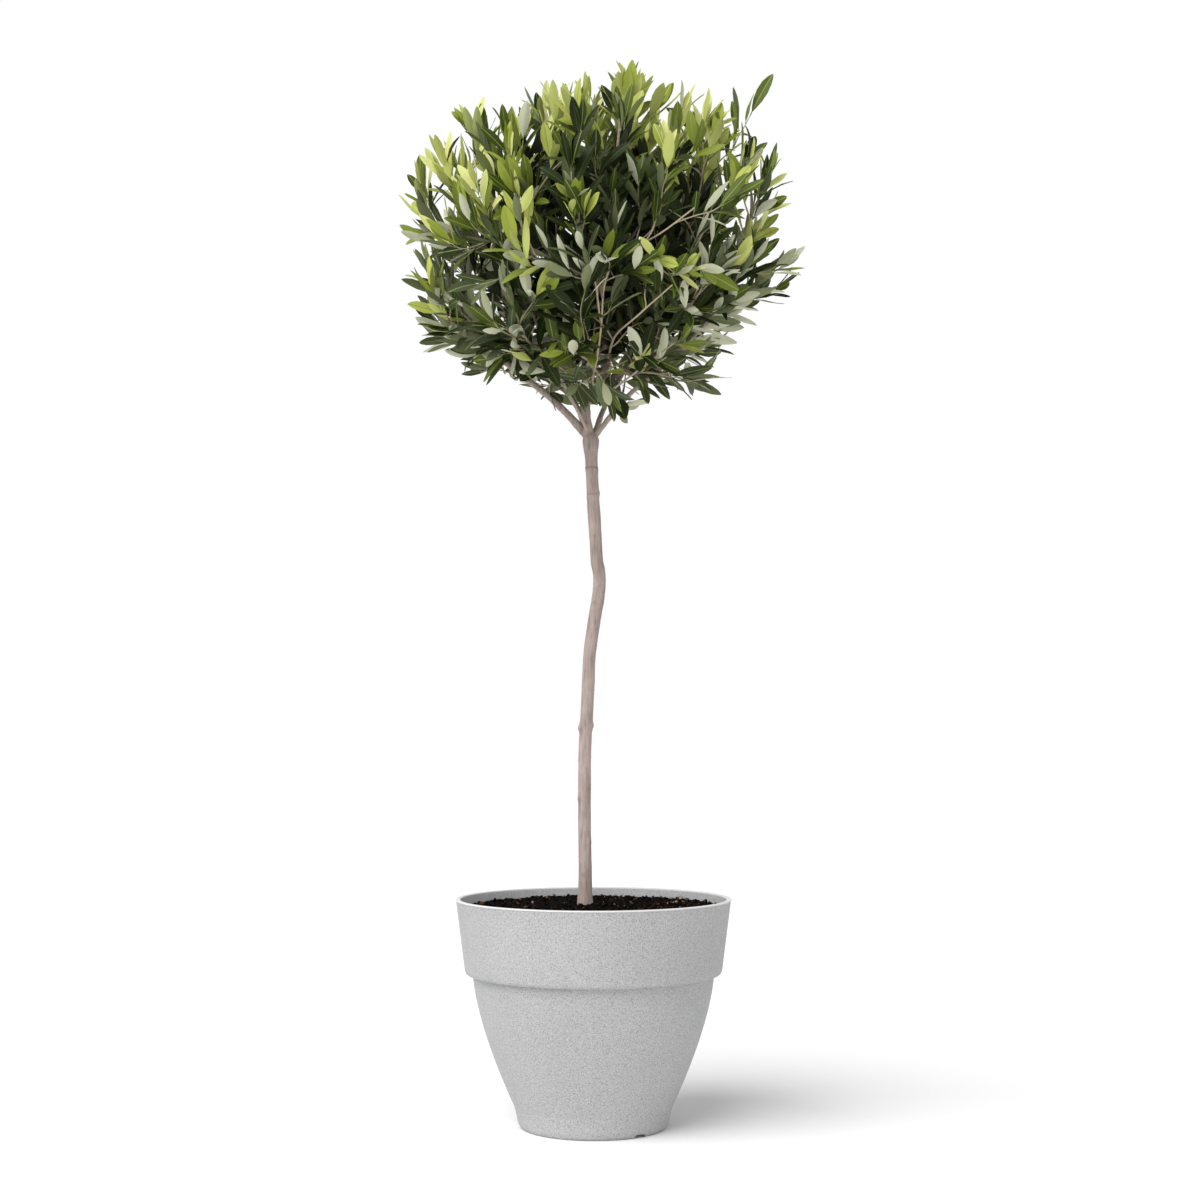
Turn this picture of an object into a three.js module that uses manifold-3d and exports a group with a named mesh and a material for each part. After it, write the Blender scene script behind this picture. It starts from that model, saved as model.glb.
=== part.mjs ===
// Potted olive standard: a clear slender stem under a round leafy head, in a
// round plastic patio pot with a deep rim band. Millimetres, +Z up. The origin
// is the centre of the pot's flat underside, and the front of the plant faces -Y.

import * as THREE from 'three';
import { mergeVertices } from 'three/addons/utils/BufferGeometryUtils.js';
import Module from 'manifold-3d';

const wasm = await Module();
wasm.setup();

// ---------------------------------------------------------------- dimensions
const GAP = 0.3; // clearance between touching pieces

// pot
const POT = {
  sides: 30,
  height: 244,
  rimRadius: 150, // outside of the lip
  lip: 1.2, // how far the lip bead stands proud of the band
  bandTopRadius: 148.4,
  bandFootRadius: 139.8,
  bandFootZ: 169,
  bandUnderZ: 163, // where the band turns in to the body
  bodyTopRadius: 130.8,
  waistZ: 22.9,
  waistRadius: 86,
  footRadius: 80.6,
  footEdge: 2.4, // rounding of the foot's bottom edge
  bulge: 1.47, // fullness of the body between waist and band
  wall: 4,
  floor: 6,
  notches: 3,
  notchAngle: -52, // of the first drain notch, degrees from +X
  notchWidth: 14,
  notchHeight: 3.6,
  notchDepth: 5,
};

// potting mix
const SOIL = { levelAtWall: 235.4, mound: 3.6, seatRadius: 17 };
const GROUND = SOIL.levelAtWall + SOIL.mound; // level that the stem is cut at

// stem: heights and sideways set of its slow bends, [z, x, y]
const STEM_BENDS = [
  [GROUND + GAP, -9.3, 0],
  [GROUND + 38, -9.4, 0],
  [400, -9.7, 1.2],
  [453, -7, 2.2],
  [510, -4.4, 1.8],
  [545, 0.4, 0.6],
  [582, 6.3, -1],
  [600, 5.9, -1],
  [612, 3.5, -0.4],
  [640, 1.9, 0.6],
  [690, -1.1, 1],
  [744, -3.3, 0],
  [757, -3.3, 0],
];
const STEM = {
  sides: 10,
  rings: 25,
  footRadius: 9.6, // root flare at the soil
  flareHeight: 16,
  lowRadius: 7.3,
  highRadius: 6.9,
  forkRadius: 9.4,
  forkZ: 745,
  forkSpread: 12,
  nodeEvery: 47,
  nodeSwell: 0.35,
  topRadius: 3,
};

// head of foliage
const HEAD = new THREE.Vector3(7, 0, 976); // its middle
const INNER = 58; // the hollow inside the masses, where only limbs pass
const MASS_DETAIL = 3;
const SLIT = 1.8; // half of the space left between two masses
const OVERSHOOT = 26; // a mass is drawn this far past the outline, then trimmed to it
const ROUNDING = 12; // how sharply a mass turns where it meets its neighbours

// Outline: how far the foliage reaches from the middle of the head, at every 15
// degrees of elevation from straight down to straight up, on each side.
const REACH_RIGHT = [192, 196, 214, 206, 192, 212, 220, 210, 212, 216, 192, 188, 182];
const REACH_LEFT = [192, 204, 190, 204, 229, 229, 218, 219, 213, 203, 172, 180, 182];
const REACH_DEPTH = 0.97; // front and back, as a share of the mean of the sides
const APEX = { azimuth: -6, elevation: 79, reach: 214, spread: 8 };

// Each mass: name, azimuth from +X and elevation (degrees), half-width across,
// half-height, unevenness seed.
const MASSES = [
  ['foliage_top_right', 338, 74, 76, 68, 1.3],
  ['foliage_top_left', 205, 62, 74, 66, 2.9],
  ['foliage_top_back', 88, 64, 74, 66, 4.1],

  ['foliage_upper_right', 2, 31, 76, 60, 5.7],
  ['foliage_upper_back_right', 56, 26, 80, 60, 6.2],
  ['foliage_upper_back_left', 124, 26, 82, 60, 7.9],
  ['foliage_upper_left', 182, 29, 76, 58, 8.4],
  ['foliage_upper_front_left', 240, 30, 80, 60, 9.6],
  ['foliage_upper_front_right', 300, 28, 80, 60, 10.2],

  ['foliage_middle_right', 353, -7, 78, 60, 11.8],
  ['foliage_middle_back_right', 60, -12, 86, 58, 12.1],
  ['foliage_middle_back_left', 122, -10, 86, 58, 13.3],
  ['foliage_middle_left', 184, -13, 80, 66, 14.7],
  ['foliage_middle_front_left', 243, -11, 82, 60, 15.2],
  ['foliage_middle_front_right', 300, -10, 82, 60, 16.5],

  ['foliage_lower_right', 350, -52, 84, 58, 17.9],
  ['foliage_lower_back_right', 62, -50, 84, 54, 18.4],
  ['foliage_lower_back_left', 128, -50, 84, 54, 19.1],
  ['foliage_lower_left', 190, -44, 84, 60, 20.6],
  ['foliage_lower_front', 268, -50, 90, 54, 21.8],
];

// One young shoot stands clear of the head on its upper right. Its own solid
// starts where it leaves the masses.
const SPIRE = { from: [163, -6, 1090], to: [200, -8, 1166], radius: 9 };

// Limbs: name, start on the parent (height above the fork or along the leader),
// end point it makes for, how far it bows up on the way, radii at base and tip.
const LEADER_BENDS = [
  [-3.3, 0, 750],
  [-8, 0, 773],
  [-7, 1, 791],
  [15, 6, 833],
  [9, 4, 890],
  [5, 2, 943],
  [10, 0, 1070],
];
const LIMBS = [
  { name: 'leader', r0: 4.9, r1: 2.2 },
  { name: 'bough_left', from: [-3, 0, 749], by: [-30, 2, 777], to: [-104, 4, 841], r0: 4.7, r1: 2.7 },
  { name: 'bough_right', from: [-2, 1, 751], by: [36, -4, 792], to: [104, -16, 850], r0: 4.0, r1: 2.4 },
  { name: 'bough_back_right', from: [-2, 1, 751], by: [12, 28, 786], to: [42, 92, 855], r0: 3.7, r1: 2.2 },
  { name: 'bough_back_left', from: [-4, 1, 751], by: [-20, 26, 788], to: [-56, 84, 855], r0: 3.5, r1: 2.2 },
  { name: 'bough_front', from: [-3, -1, 751], by: [-24, -18, 790], to: [-56, -52, 850], r0: 2.6, r1: 1.8 },
  { name: 'limb_right', parent: 0.42, by: [34, -8, 908], to: [114, -20, 990], r0: 2.6, r1: 1.7 },
  { name: 'limb_left', parent: 0.5, by: [-22, -6, 928], to: [-114, -20, 1005], r0: 2.6, r1: 1.7 },
  { name: 'limb_back', parent: 0.56, by: [6, 30, 955], to: [10, 120, 1018], r0: 2.5, r1: 1.7 },
  { name: 'limb_front', parent: 0.62, by: [14, -26, 972], to: [24, -120, 1028], r0: 2.4, r1: 1.6 },
];
const LIMB_SIDES = 6;

// ------------------------------------------------------------------ helpers
const rad = THREE.MathUtils.degToRad;
const lerp = THREE.MathUtils.lerp;
const smooth = THREE.MathUtils.smoothstep;

// A closed geometry with its shared vertices merged, positions only.
function closed(geometry) {
  geometry.deleteAttribute('normal');
  geometry.deleteAttribute('uv');
  return mergeVertices(geometry, 1e-3);
}

function toSolid(geometry) {
  return new wasm.Manifold(
    new wasm.Mesh({
      numProp: 3,
      vertProperties: new Float32Array(geometry.attributes.position.array),
      triVerts: new Uint32Array(geometry.index.array),
    }),
  );
}

// The main body of a cut solid, without the crumbs a cut can leave.
function largest(solid) {
  return solid.decompose().reduce((a, b) => (a.volume() > b.volume() ? a : b));
}

function fromSolid(solid) {
  const mesh = solid.getMesh();
  const geometry = new THREE.BufferGeometry();
  geometry.setAttribute('position', new THREE.BufferAttribute(new Float32Array(mesh.vertProperties), 3));
  geometry.setIndex(new THREE.BufferAttribute(new Uint32Array(mesh.triVerts), 1));
  return geometry;
}

// A round closed limb: a capped cylinder bent along a curve, its radius given
// at each height. At [t, angle] the radius may also vary round the limb.
function limb(curve, radiusAt, sides, rings) {
  const geometry = closed(new THREE.CylinderGeometry(1, 1, 1, sides, rings));
  const frames = curve.computeFrenetFrames(rings, false);
  const position = geometry.attributes.position;
  const centre = new THREE.Vector3();
  for (let i = 0; i < position.count; i++) {
    const x = position.getX(i);
    const z = position.getZ(i);
    const t = position.getY(i) + 0.5;
    const k = Math.round(t * rings);
    curve.getPointAt(k / rings, centre);
    const r = radiusAt(k / rings, Math.atan2(z, x), centre);
    centre.addScaledVector(frames.normals[k], -x * r).addScaledVector(frames.binormals[k], z * r);
    position.setXYZ(i, centre.x, centre.y, centre.z);
  }
  if (toSolid(geometry).volume() < 0) {
    const index = geometry.index.array;
    for (let i = 0; i < index.length; i += 3) [index[i], index[i + 1]] = [index[i + 1], index[i]];
  }
  return geometry;
}

const points = (list) => list.map((p) => new THREE.Vector3(...p));

// ---------------------------------------------------------------------- pot
// Outside radius of the body between waist and band.
function bodyRadius(z) {
  const t = (z - POT.waistZ) / (POT.bandUnderZ - POT.waistZ);
  return POT.waistRadius + (POT.bodyTopRadius - POT.waistRadius) * (1 - (1 - t) ** POT.bulge);
}

function potProfile() {
  const outside = [
    [0, 0],
    [POT.footRadius - POT.footEdge, 0],
    [POT.footRadius, POT.footEdge],
    [lerp(POT.footRadius, POT.waistRadius, 0.62), POT.waistZ * 0.68],
  ];
  for (let i = 0; i <= 5; i++) {
    const z = lerp(POT.waistZ, POT.bandUnderZ, i / 5);
    outside.push([bodyRadius(z), z]);
  }
  outside.push([POT.bandFootRadius - 1.5, POT.bandUnderZ + 1.2]);
  outside.push([POT.bandFootRadius, POT.bandFootZ]);
  outside.push([POT.bandTopRadius, POT.height - 6]);
  outside.push([POT.rimRadius, POT.height - 4.2]);
  outside.push([POT.rimRadius, POT.height - 1]);
  const inside = [
    [POT.rimRadius - 1.2, POT.height],
    [innerRadius(POT.height), POT.height],
    ...[POT.bandUnderZ - 4, 95, 50, POT.floor].map((z) => [innerRadius(z), z]),
    [0, POT.floor],
  ];
  return [...outside, ...inside].map(([r, z]) => new THREE.Vector2(r, z));
}

// Inside radius of the wall, straight between a few heights.
function innerRadius(z) {
  const heights = [POT.floor, 50, 95, POT.bandUnderZ - 4, POT.height];
  const radii = [
    POT.footRadius - POT.wall,
    bodyRadius(50) - POT.wall,
    bodyRadius(95) - POT.wall,
    bodyRadius(POT.bandUnderZ - 4) - POT.wall,
    POT.rimRadius - POT.lip - POT.wall,
  ];
  for (let i = 1; i < heights.length; i++) {
    if (z <= heights[i]) {
      return lerp(radii[i - 1], radii[i], (z - heights[i - 1]) / (heights[i] - heights[i - 1]));
    }
  }
  return radii[radii.length - 1];
}

// A lathe profile runs round +Y; turned so that its axis is +Z.
function turned(profile, sides) {
  const geometry = closed(new THREE.LatheGeometry(profile, sides));
  geometry.rotateX(Math.PI / 2);
  return withFacesOut(dropSlivers(geometry));
}

// Leaves out the faces of no area that a lathe has on its own axis.
function dropSlivers(geometry) {
  const kept = [];
  const index = geometry.index.array;
  for (let i = 0; i < index.length; i += 3) {
    const [a, b, c] = [index[i], index[i + 1], index[i + 2]];
    if (a !== b && b !== c && a !== c) kept.push(a, b, c);
  }
  geometry.setIndex(kept);
  return geometry;
}

function withFacesOut(geometry) {
  if (toSolid(geometry).volume() < 0) {
    const index = geometry.index.array;
    for (let i = 0; i < index.length; i += 3) [index[i], index[i + 1]] = [index[i + 1], index[i]];
  }
  return geometry;
}

function makePot() {
  let pot = toSolid(turned(potProfile(), POT.sides));
  for (let k = 0; k < POT.notches; k++) {
    const angle = rad(POT.notchAngle + (360 / POT.notches) * k);
    const box = new THREE.BoxGeometry(POT.notchDepth * 2, POT.notchWidth, POT.notchHeight * 2);
    box.translate(POT.footRadius, 0, 0);
    box.rotateZ(angle);
    pot = pot.subtract(toSolid(closed(box)));
  }
  return fromSolid(pot);
}

function makeSoil() {
  const level = (r) => SOIL.levelAtWall + SOIL.mound * (1 - smooth(r, SOIL.seatRadius, 70));
  const side = [SOIL.levelAtWall, POT.bandUnderZ - 4, 95, 50].map((z) => [innerRadius(z) - GAP - 0.1, z]);
  const profile = [
    [0, POT.floor + GAP],
    [innerRadius(POT.floor) - GAP - 0.3, POT.floor + GAP],
    ...side.reverse(),
    ...[70, SOIL.seatRadius].map((r) => [r, level(r)]),
    [0, GROUND],
  ];
  return turned(profile.map(([r, z]) => new THREE.Vector2(r, z)), POT.sides);
}

// --------------------------------------------------------------------- stem
const stemCurve = new THREE.CatmullRomCurve3(
  STEM_BENDS.map(([z, x, y]) => new THREE.Vector3(x, y, z)),
  false,
  'centripetal',
);

function stemRadius(t, angle, at) {
  const height = at.z - GROUND;
  const flare = (STEM.footRadius - STEM.lowRadius) * Math.exp(-height / STEM.flareHeight);
  const ridge = 1 + 0.07 * Math.exp(-height / 10) * Math.cos(angle * 4 + 0.6);
  const swell = STEM.nodeSwell * Math.max(0, Math.cos((2 * Math.PI * height) / STEM.nodeEvery)) ** 6;
  const fork = (STEM.forkRadius - STEM.highRadius) * Math.exp(-(((at.z - STEM.forkZ) / STEM.forkSpread) ** 2));
  const round = t > 0.99 ? STEM.topRadius / STEM.forkRadius : 1;
  return (lerp(STEM.lowRadius, STEM.highRadius, t) * ridge + flare + swell + fork) * round;
}

const makeStem = (extra = 0) =>
  limb(stemCurve, (t, a, p) => stemRadius(t, a, p) + extra, STEM.sides, STEM.rings);

// ------------------------------------------------------------------- masses
const direction = (azimuth, elevation) =>
  new THREE.Vector3(
    Math.cos(rad(elevation)) * Math.cos(rad(azimuth)),
    Math.cos(rad(elevation)) * Math.sin(rad(azimuth)),
    Math.sin(rad(elevation)),
  );

// Smooth unevenness over a mass, about -1 to 1.
function uneven(d, seed) {
  return (
    0.5 * Math.sin(3.1 * d.x + 1.7 * seed) * Math.cos(2.7 * d.y - seed) +
    0.35 * Math.sin(4.9 * d.z + 2.3 * seed + 2 * d.x) +
    0.3 * Math.cos(7.3 * d.y + 5.1 * d.z + seed) * Math.sin(6.1 * d.x - 2 * seed)
  );
}

// How far the foliage reaches from the middle of the head in direction d.
function outline(d) {
  const across = Math.hypot(d.x, d.y);
  const place = (Math.atan2(d.z, across) / Math.PI + 0.5) * 12;
  const k = Math.min(11, Math.floor(place));
  const right = lerp(REACH_RIGHT[k], REACH_RIGHT[k + 1], place - k);
  const left = lerp(REACH_LEFT[k], REACH_LEFT[k + 1], place - k);
  const side = across > 1e-6 ? d.x / across : 0; // 1 on the right, -1 on the left
  const depth = lerp(REACH_DEPTH, 1, side * side);
  const apex = d.angleTo(direction(APEX.azimuth, APEX.elevation)) / rad(APEX.spread);
  return lerp(left, right, (1 + side) / 2) * depth + (APEX.reach - 192) * Math.exp(-apex * apex);
}

const masses = MASSES.map(([name, azimuth, elevation, across, high, seed]) => {
  const out = direction(azimuth, elevation);
  const side = new THREE.Vector3(-Math.sin(rad(azimuth)), Math.cos(rad(azimuth)), 0);
  const up = new THREE.Vector3().crossVectors(out, side);
  const reach = outline(out) + OVERSHOOT;
  const deep = (reach - INNER) / 2;
  const centre = HEAD.clone().addScaledVector(out, (reach + INNER) / 2);
  // distance from the mass's centre to its skin along d, before its neighbours
  // are parted from it
  const surface = (d) => {
    const a = d.dot(out) / deep;
    const b = d.dot(side) / across;
    const c = d.dot(up) / high;
    const q = 2.5; // fuller than an ellipsoid
    const base = (Math.abs(a) ** q + Math.abs(b) ** q + Math.abs(c) ** q) ** (-1 / q);
    let r = base * (1 + 0.16 * uneven(d, seed));
    for (let k = 0; k < 6; k++) {
      const p = centre.clone().addScaledVector(d, r).sub(HEAD);
      const over = p.length() - outline(p.clone().normalize()) * (1 + 0.045 * uneven(d, 3 * seed + 1));
      if (over > 0) r -= over * Math.max(0.5, d.dot(out));
    }
    return r;
  };
  return { name, out, centre, surface };
});

// Walls between masses: each pair is parted by a plane between their centres.
for (const mass of masses) {
  mass.planes = [];
  for (const other of masses) {
    if (other === mass) continue;
    const n = other.centre.clone().sub(mass.centre);
    const far = n.length();
    n.divideScalar(far);
    const mine = mass.surface(n);
    const theirs = other.surface(n.clone().negate());
    mass.planes.push({ n, at: (far * mine) / (mine + theirs) - SLIT });
  }
}

function makeMass(mass) {
  const geometry = closed(new THREE.IcosahedronGeometry(1, MASS_DETAIL));
  const position = geometry.attributes.position;
  const d = new THREE.Vector3();
  for (let i = 0; i < position.count; i++) {
    d.fromBufferAttribute(position, i).normalize();
    let sum = mass.surface(d) ** -ROUNDING;
    for (const { n, at } of mass.planes) {
      const along = d.dot(n);
      if (along > 1e-6) sum += (at / along) ** -ROUNDING;
    }
    d.multiplyScalar(sum ** (-1 / ROUNDING)).add(mass.centre);
    position.setXYZ(i, d.x, d.y, d.z);
  }
  mass.geometry = geometry;
  return geometry;
}

// True where p lies in a mass or nearer than `margin` to its skin.
function inMass(mass, p, margin) {
  const d = p.clone().sub(mass.centre);
  const far = d.length();
  if (far > 130) return false;
  const ray = new THREE.Ray(mass.centre, d.normalize());
  const position = mass.geometry.attributes.position;
  const index = mass.geometry.index.array;
  const [a, b, c, hit] = [0, 1, 2, 3].map(() => new THREE.Vector3());
  for (let i = 0; i < index.length; i += 3) {
    a.fromBufferAttribute(position, index[i]);
    b.fromBufferAttribute(position, index[i + 1]);
    c.fromBufferAttribute(position, index[i + 2]);
    if (ray.intersectTriangle(a, b, c, false, hit)) return far < hit.distanceTo(mass.centre) + margin;
  }
  return false;
}

// A young shoot: a slim spindle of leaves.
function makeSpire() {
  const [root, to] = points([SPIRE.from, SPIRE.to]);
  const from = root.clone();
  const buried = () => masses.some((mass) => inMass(mass, from, 3));
  for (let t = 0; buried() && t < 0.7; t += 0.02) from.lerpVectors(root, to, t);
  const geometry = closed(new THREE.IcosahedronGeometry(1, 1));
  const length = from.distanceTo(to);
  geometry.scale(SPIRE.radius, SPIRE.radius, length / 2);
  const turn = new THREE.Quaternion().setFromUnitVectors(
    new THREE.Vector3(0, 0, 1),
    to.clone().sub(from).normalize(),
  );
  geometry.applyQuaternion(turn);
  const middle = from.clone().lerp(to, 0.5);
  geometry.translate(middle.x, middle.y, middle.z);
  return geometry;
}

// -------------------------------------------------------------------- limbs
// The part of a curve that runs clear of every mass.
function clearLength(curve, radius) {
  const steps = 160;
  for (let i = 1; i <= steps; i++) {
    const p = curve.getPointAt(i / steps);
    if (masses.some((mass) => inMass(mass, p, radius + 1.2))) return (i - 1) / steps;
  }
  return 1;
}

class PartCurve extends THREE.Curve {
  constructor(whole, share) {
    super();
    this.whole = whole;
    this.share = share;
  }
  getPoint(t, target = new THREE.Vector3()) {
    return this.whole.getPointAt(Math.min(1, t * this.share), target);
  }
}

const leaderCurve = new THREE.CatmullRomCurve3(points(LEADER_BENDS), false, 'centripetal');

function limbCurve(spec) {
  if (spec.name === 'leader') return leaderCurve;
  const start = spec.parent === undefined ? new THREE.Vector3(...spec.from) : leaderCurve.getPointAt(spec.parent);
  return new THREE.CatmullRomCurve3([start, ...points([spec.by, spec.to])], false, 'centripetal');
}

// ----------------------------------------------------------------- assembly
const material = (color, roughness) => new THREE.MeshStandardMaterial({ color, roughness, metalness: 0 });
const paint = {
  pot: () => material(0xc5c6c6, 0.75),
  soil: () => material(0x2b2019, 0.95),
  bark: () => material(0xb0a298, 0.8),
  leaf: (k) => material(new THREE.Color().setHSL(0.24 + 0.02 * Math.sin(k * 2.1), 0.34, 0.27 + 0.04 * Math.cos(k)), 0.6),
};

const group = new THREE.Group();
function add(name, geometry, look) {
  geometry.computeVertexNormals();
  const mesh = new THREE.Mesh(geometry, look);
  mesh.name = name;
  group.add(mesh);
}

add('pot', makePot(), paint.pot());
add('soil', makeSoil(), paint.soil());
add('stem', makeStem(), paint.bark());

masses.forEach((mass, k) => add(mass.name, makeMass(mass), paint.leaf(k)));
add('foliage_spire', makeSpire(), paint.leaf(masses.length));

// Limbs, each seated on the stem and on the limbs before it.
const seats = [toSolid(makeStem(GAP))];
for (const spec of LIMBS) {
  const whole = limbCurve(spec);
  const share = clearLength(whole, spec.r1);
  const curve = new PartCurve(whole, share);
  const rings = Math.max(5, Math.round((whole.getLength() * share) / 24));
  const radius = (t) => lerp(spec.r0, spec.r1, t) * (1 + 0.12 * Math.exp(-t * 14));
  let solid = toSolid(limb(curve, radius, LIMB_SIDES, rings));
  for (const seat of seats) solid = solid.subtract(seat);
  add(spec.name, fromSolid(largest(solid)), paint.bark());
  seats.push(toSolid(limb(curve, (t) => radius(t) + GAP, LIMB_SIDES, rings)));
}

export default group;
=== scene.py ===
import math
import random

import bpy
import numpy as np
from mathutils import Matrix, Vector, noise


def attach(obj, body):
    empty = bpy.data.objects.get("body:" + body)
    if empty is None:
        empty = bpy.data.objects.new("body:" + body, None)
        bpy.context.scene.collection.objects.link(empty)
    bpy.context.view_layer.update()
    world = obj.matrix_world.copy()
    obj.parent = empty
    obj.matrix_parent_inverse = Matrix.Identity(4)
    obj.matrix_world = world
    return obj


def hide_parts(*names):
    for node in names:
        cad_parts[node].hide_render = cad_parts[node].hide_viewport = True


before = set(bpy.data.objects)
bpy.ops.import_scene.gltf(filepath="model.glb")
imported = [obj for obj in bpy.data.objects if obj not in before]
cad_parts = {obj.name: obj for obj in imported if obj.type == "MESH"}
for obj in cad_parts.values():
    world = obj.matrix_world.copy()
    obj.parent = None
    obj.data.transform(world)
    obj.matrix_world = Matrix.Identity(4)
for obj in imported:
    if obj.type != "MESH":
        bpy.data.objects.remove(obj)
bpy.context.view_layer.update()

# Potted olive standard, in metres, +Z up, the front of the plant facing -Y.
# The same named sizes as the CAD source, from which every shape below follows.
MM = 0.001
NODES = sorted(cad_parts)

rng = random.Random(4127)
nrng = np.random.default_rng(4127)

POT = dict(
    height=244, rim=150, lip=1.2, band_top=148.4, band_foot=139.8, band_foot_z=169,
    band_under_z=163, body_top=130.8, waist_z=22.9, waist=86, foot=80.6, foot_edge=2.4,
    bulge=1.47, wall=4, floor=6, notches=3, notch_angle=-52, notch_width=14,
    notch_height=3.6, notch_depth=5,
)
SOIL_WALL, SOIL_MOUND, SOIL_SEAT = 235.4, 3.6, 17
GROUND = SOIL_WALL + SOIL_MOUND

STEM_BENDS = [
    (239.3, -9.3, 0), (277, -9.4, 0), (400, -9.7, 1.2), (453, -7, 2.2), (510, -4.4, 1.8),
    (545, 0.4, 0.6), (582, 6.3, -1), (600, 5.9, -1), (612, 3.5, -0.4), (640, 1.9, 0.6),
    (690, -1.1, 1), (744, -3.3, 0), (757, -3.3, 0),
]
HEAD = np.array([7.0, 0.0, 976.0])
REACH_RIGHT = [192, 196, 214, 206, 192, 212, 220, 210, 212, 216, 192, 188, 182]
REACH_LEFT = [192, 204, 190, 204, 229, 229, 218, 219, 213, 203, 172, 180, 182]
REACH_DEPTH = 0.97
APEX_AZ, APEX_EL, APEX_REACH, APEX_SPREAD = -6, 79, 214, 8

LEADER = [(-3.3, 0, 750), (-8, 0, 773), (-7, 1, 791), (15, 6, 833), (9, 4, 890), (5, 2, 943), (10, 0, 1070)]
# name, points, radius at base and tip, length that goes on inside the foliage
LIMBS = [
    ("bough_left", [(-3, 0, 746), (-30, 2, 777), (-104, 4, 841), (-140, 0, 884)], 4.6, 2.2),
    ("bough_right", [(-2, 1, 747), (36, -4, 792), (104, -16, 850), (140, -24, 892)], 3.0, 1.8),
    ("bough_back_right", [(-2, 1, 747), (12, 28, 786), (42, 92, 855), (62, 128, 902)], 3.2, 1.8),
    ("bough_back_left", [(-4, 1, 747), (-20, 26, 788), (-56, 84, 855), (-84, 118, 902)], 3.5, 1.9),
    ("bough_front", [(-3, -1, 748), (-24, -18, 790), (-56, -52, 850), (-76, -96, 912)], 1.9, 1.3),
]
SIDE_LIMBS = [
    ("limb_right", 0.42, [(34, -8, 908), (114, -20, 990), (140, -20, 1040)], 2.6, 1.5),
    ("limb_left", 0.5, [(-22, -6, 928), (-114, -20, 1005), (-136, -24, 1046)], 2.6, 1.5),
    ("limb_back", 0.56, [(6, 30, 955), (10, 120, 1018), (16, 140, 1060)], 2.5, 1.5),
    ("limb_front", 0.62, [(14, -26, 972), (24, -120, 1028), (28, -140, 1064)], 2.4, 1.4),
]


# ------------------------------------------------------------------- helpers
def lerp(a, b, t):
    return a + (b - a) * t


def unit(v):
    v = np.asarray(v, float)
    return v / max(1e-9, float(np.linalg.norm(v)))


def units(v):
    return v / np.maximum(np.linalg.norm(v, axis=-1, keepdims=True), 1e-9)


def smoothstep(x, a, b):
    t = np.clip((x - a) / (b - a), 0, 1)
    return t * t * (3 - 2 * t)


def curve_points(points, count):
    """A smooth curve through points (centripetal Catmull-Rom), sampled evenly by length."""
    p = np.array(points, float)
    p = np.vstack([2 * p[0] - p[1], p, 2 * p[-1] - p[-2]])
    out = []
    for i in range(1, len(p) - 2):
        a, b, c, d = p[i - 1 : i + 3]
        t0 = 0
        t1 = t0 + max(1e-6, np.linalg.norm(b - a)) ** 0.5
        t2 = t1 + max(1e-6, np.linalg.norm(c - b)) ** 0.5
        t3 = t2 + max(1e-6, np.linalg.norm(d - c)) ** 0.5
        for t in np.linspace(t1, t2, 40, endpoint=False):
            a1 = (t1 - t) / (t1 - t0) * a + (t - t0) / (t1 - t0) * b
            a2 = (t2 - t) / (t2 - t1) * b + (t - t1) / (t2 - t1) * c
            a3 = (t3 - t) / (t3 - t2) * c + (t - t2) / (t3 - t2) * d
            b1 = (t2 - t) / (t2 - t0) * a1 + (t - t0) / (t2 - t0) * a2
            b2 = (t3 - t) / (t3 - t1) * a2 + (t - t1) / (t3 - t1) * a3
            out.append((t2 - t) / (t2 - t1) * b1 + (t - t1) / (t2 - t1) * b2)
    out.append(p[-2])
    out = np.array(out)
    s = np.concatenate([[0], np.cumsum(np.linalg.norm(np.diff(out, axis=0), axis=1))])
    at = np.linspace(0, s[-1], count)
    return np.stack([np.interp(at, s, out[:, k]) for k in range(3)], 1)


def length_of(p):
    return float(np.linalg.norm(np.diff(p, axis=0), axis=1).sum())


def make_mesh(name, verts, faces, materials, material_index=None, smooth=True, sharp=None):
    """A mesh object from vertices in millimetres and faces given as an array of triangles or a list of loops."""
    me = bpy.data.meshes.new(name)
    verts = np.asarray(verts, np.float32) * MM
    me.vertices.add(len(verts))
    me.vertices.foreach_set("co", verts.ravel())
    sizes = np.array([len(f) for f in faces], np.int32)
    loops = np.concatenate([np.asarray(f, np.int32) for f in faces]) if not isinstance(faces, np.ndarray) else faces.astype(np.int32).ravel()
    me.loops.add(len(loops))
    me.loops.foreach_set("vertex_index", loops)
    me.polygons.add(len(sizes))
    me.polygons.foreach_set("loop_start", np.concatenate([[0], np.cumsum(sizes)[:-1]]).astype(np.int32))
    if material_index is not None:
        me.polygons.foreach_set("material_index", np.asarray(material_index, np.int32))
    me.polygons.foreach_set("use_smooth", np.full(len(sizes), smooth))
    me.update(calc_edges=True)
    if sharp is not None:
        pairs = np.zeros(len(me.edges) * 2, np.int32)
        me.edges.foreach_get("vertices", pairs)
        me.edges.foreach_set("use_edge_sharp", sharp(pairs.reshape(-1, 2)))
    me.validate()
    for m in materials:
        me.materials.append(m)
    ob = bpy.data.objects.new(name, me)
    bpy.context.scene.collection.objects.link(ob)
    return ob


class Soup:
    """Loose shells gathered into one mesh."""

    def __init__(self):
        self.v, self.f, self.m, self.n = [], [], [], 0

    def add(self, verts, faces, material=0):
        self.v.append(np.asarray(verts, float))
        self.f.extend([[i + self.n for i in f] for f in faces])
        self.m.extend([material] * len(faces) if np.isscalar(material) else list(material))
        self.n += len(verts)

    def build(self, name, materials, smooth=True):
        return make_mesh(name, np.vstack(self.v), self.f, materials, self.m, smooth)


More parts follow.
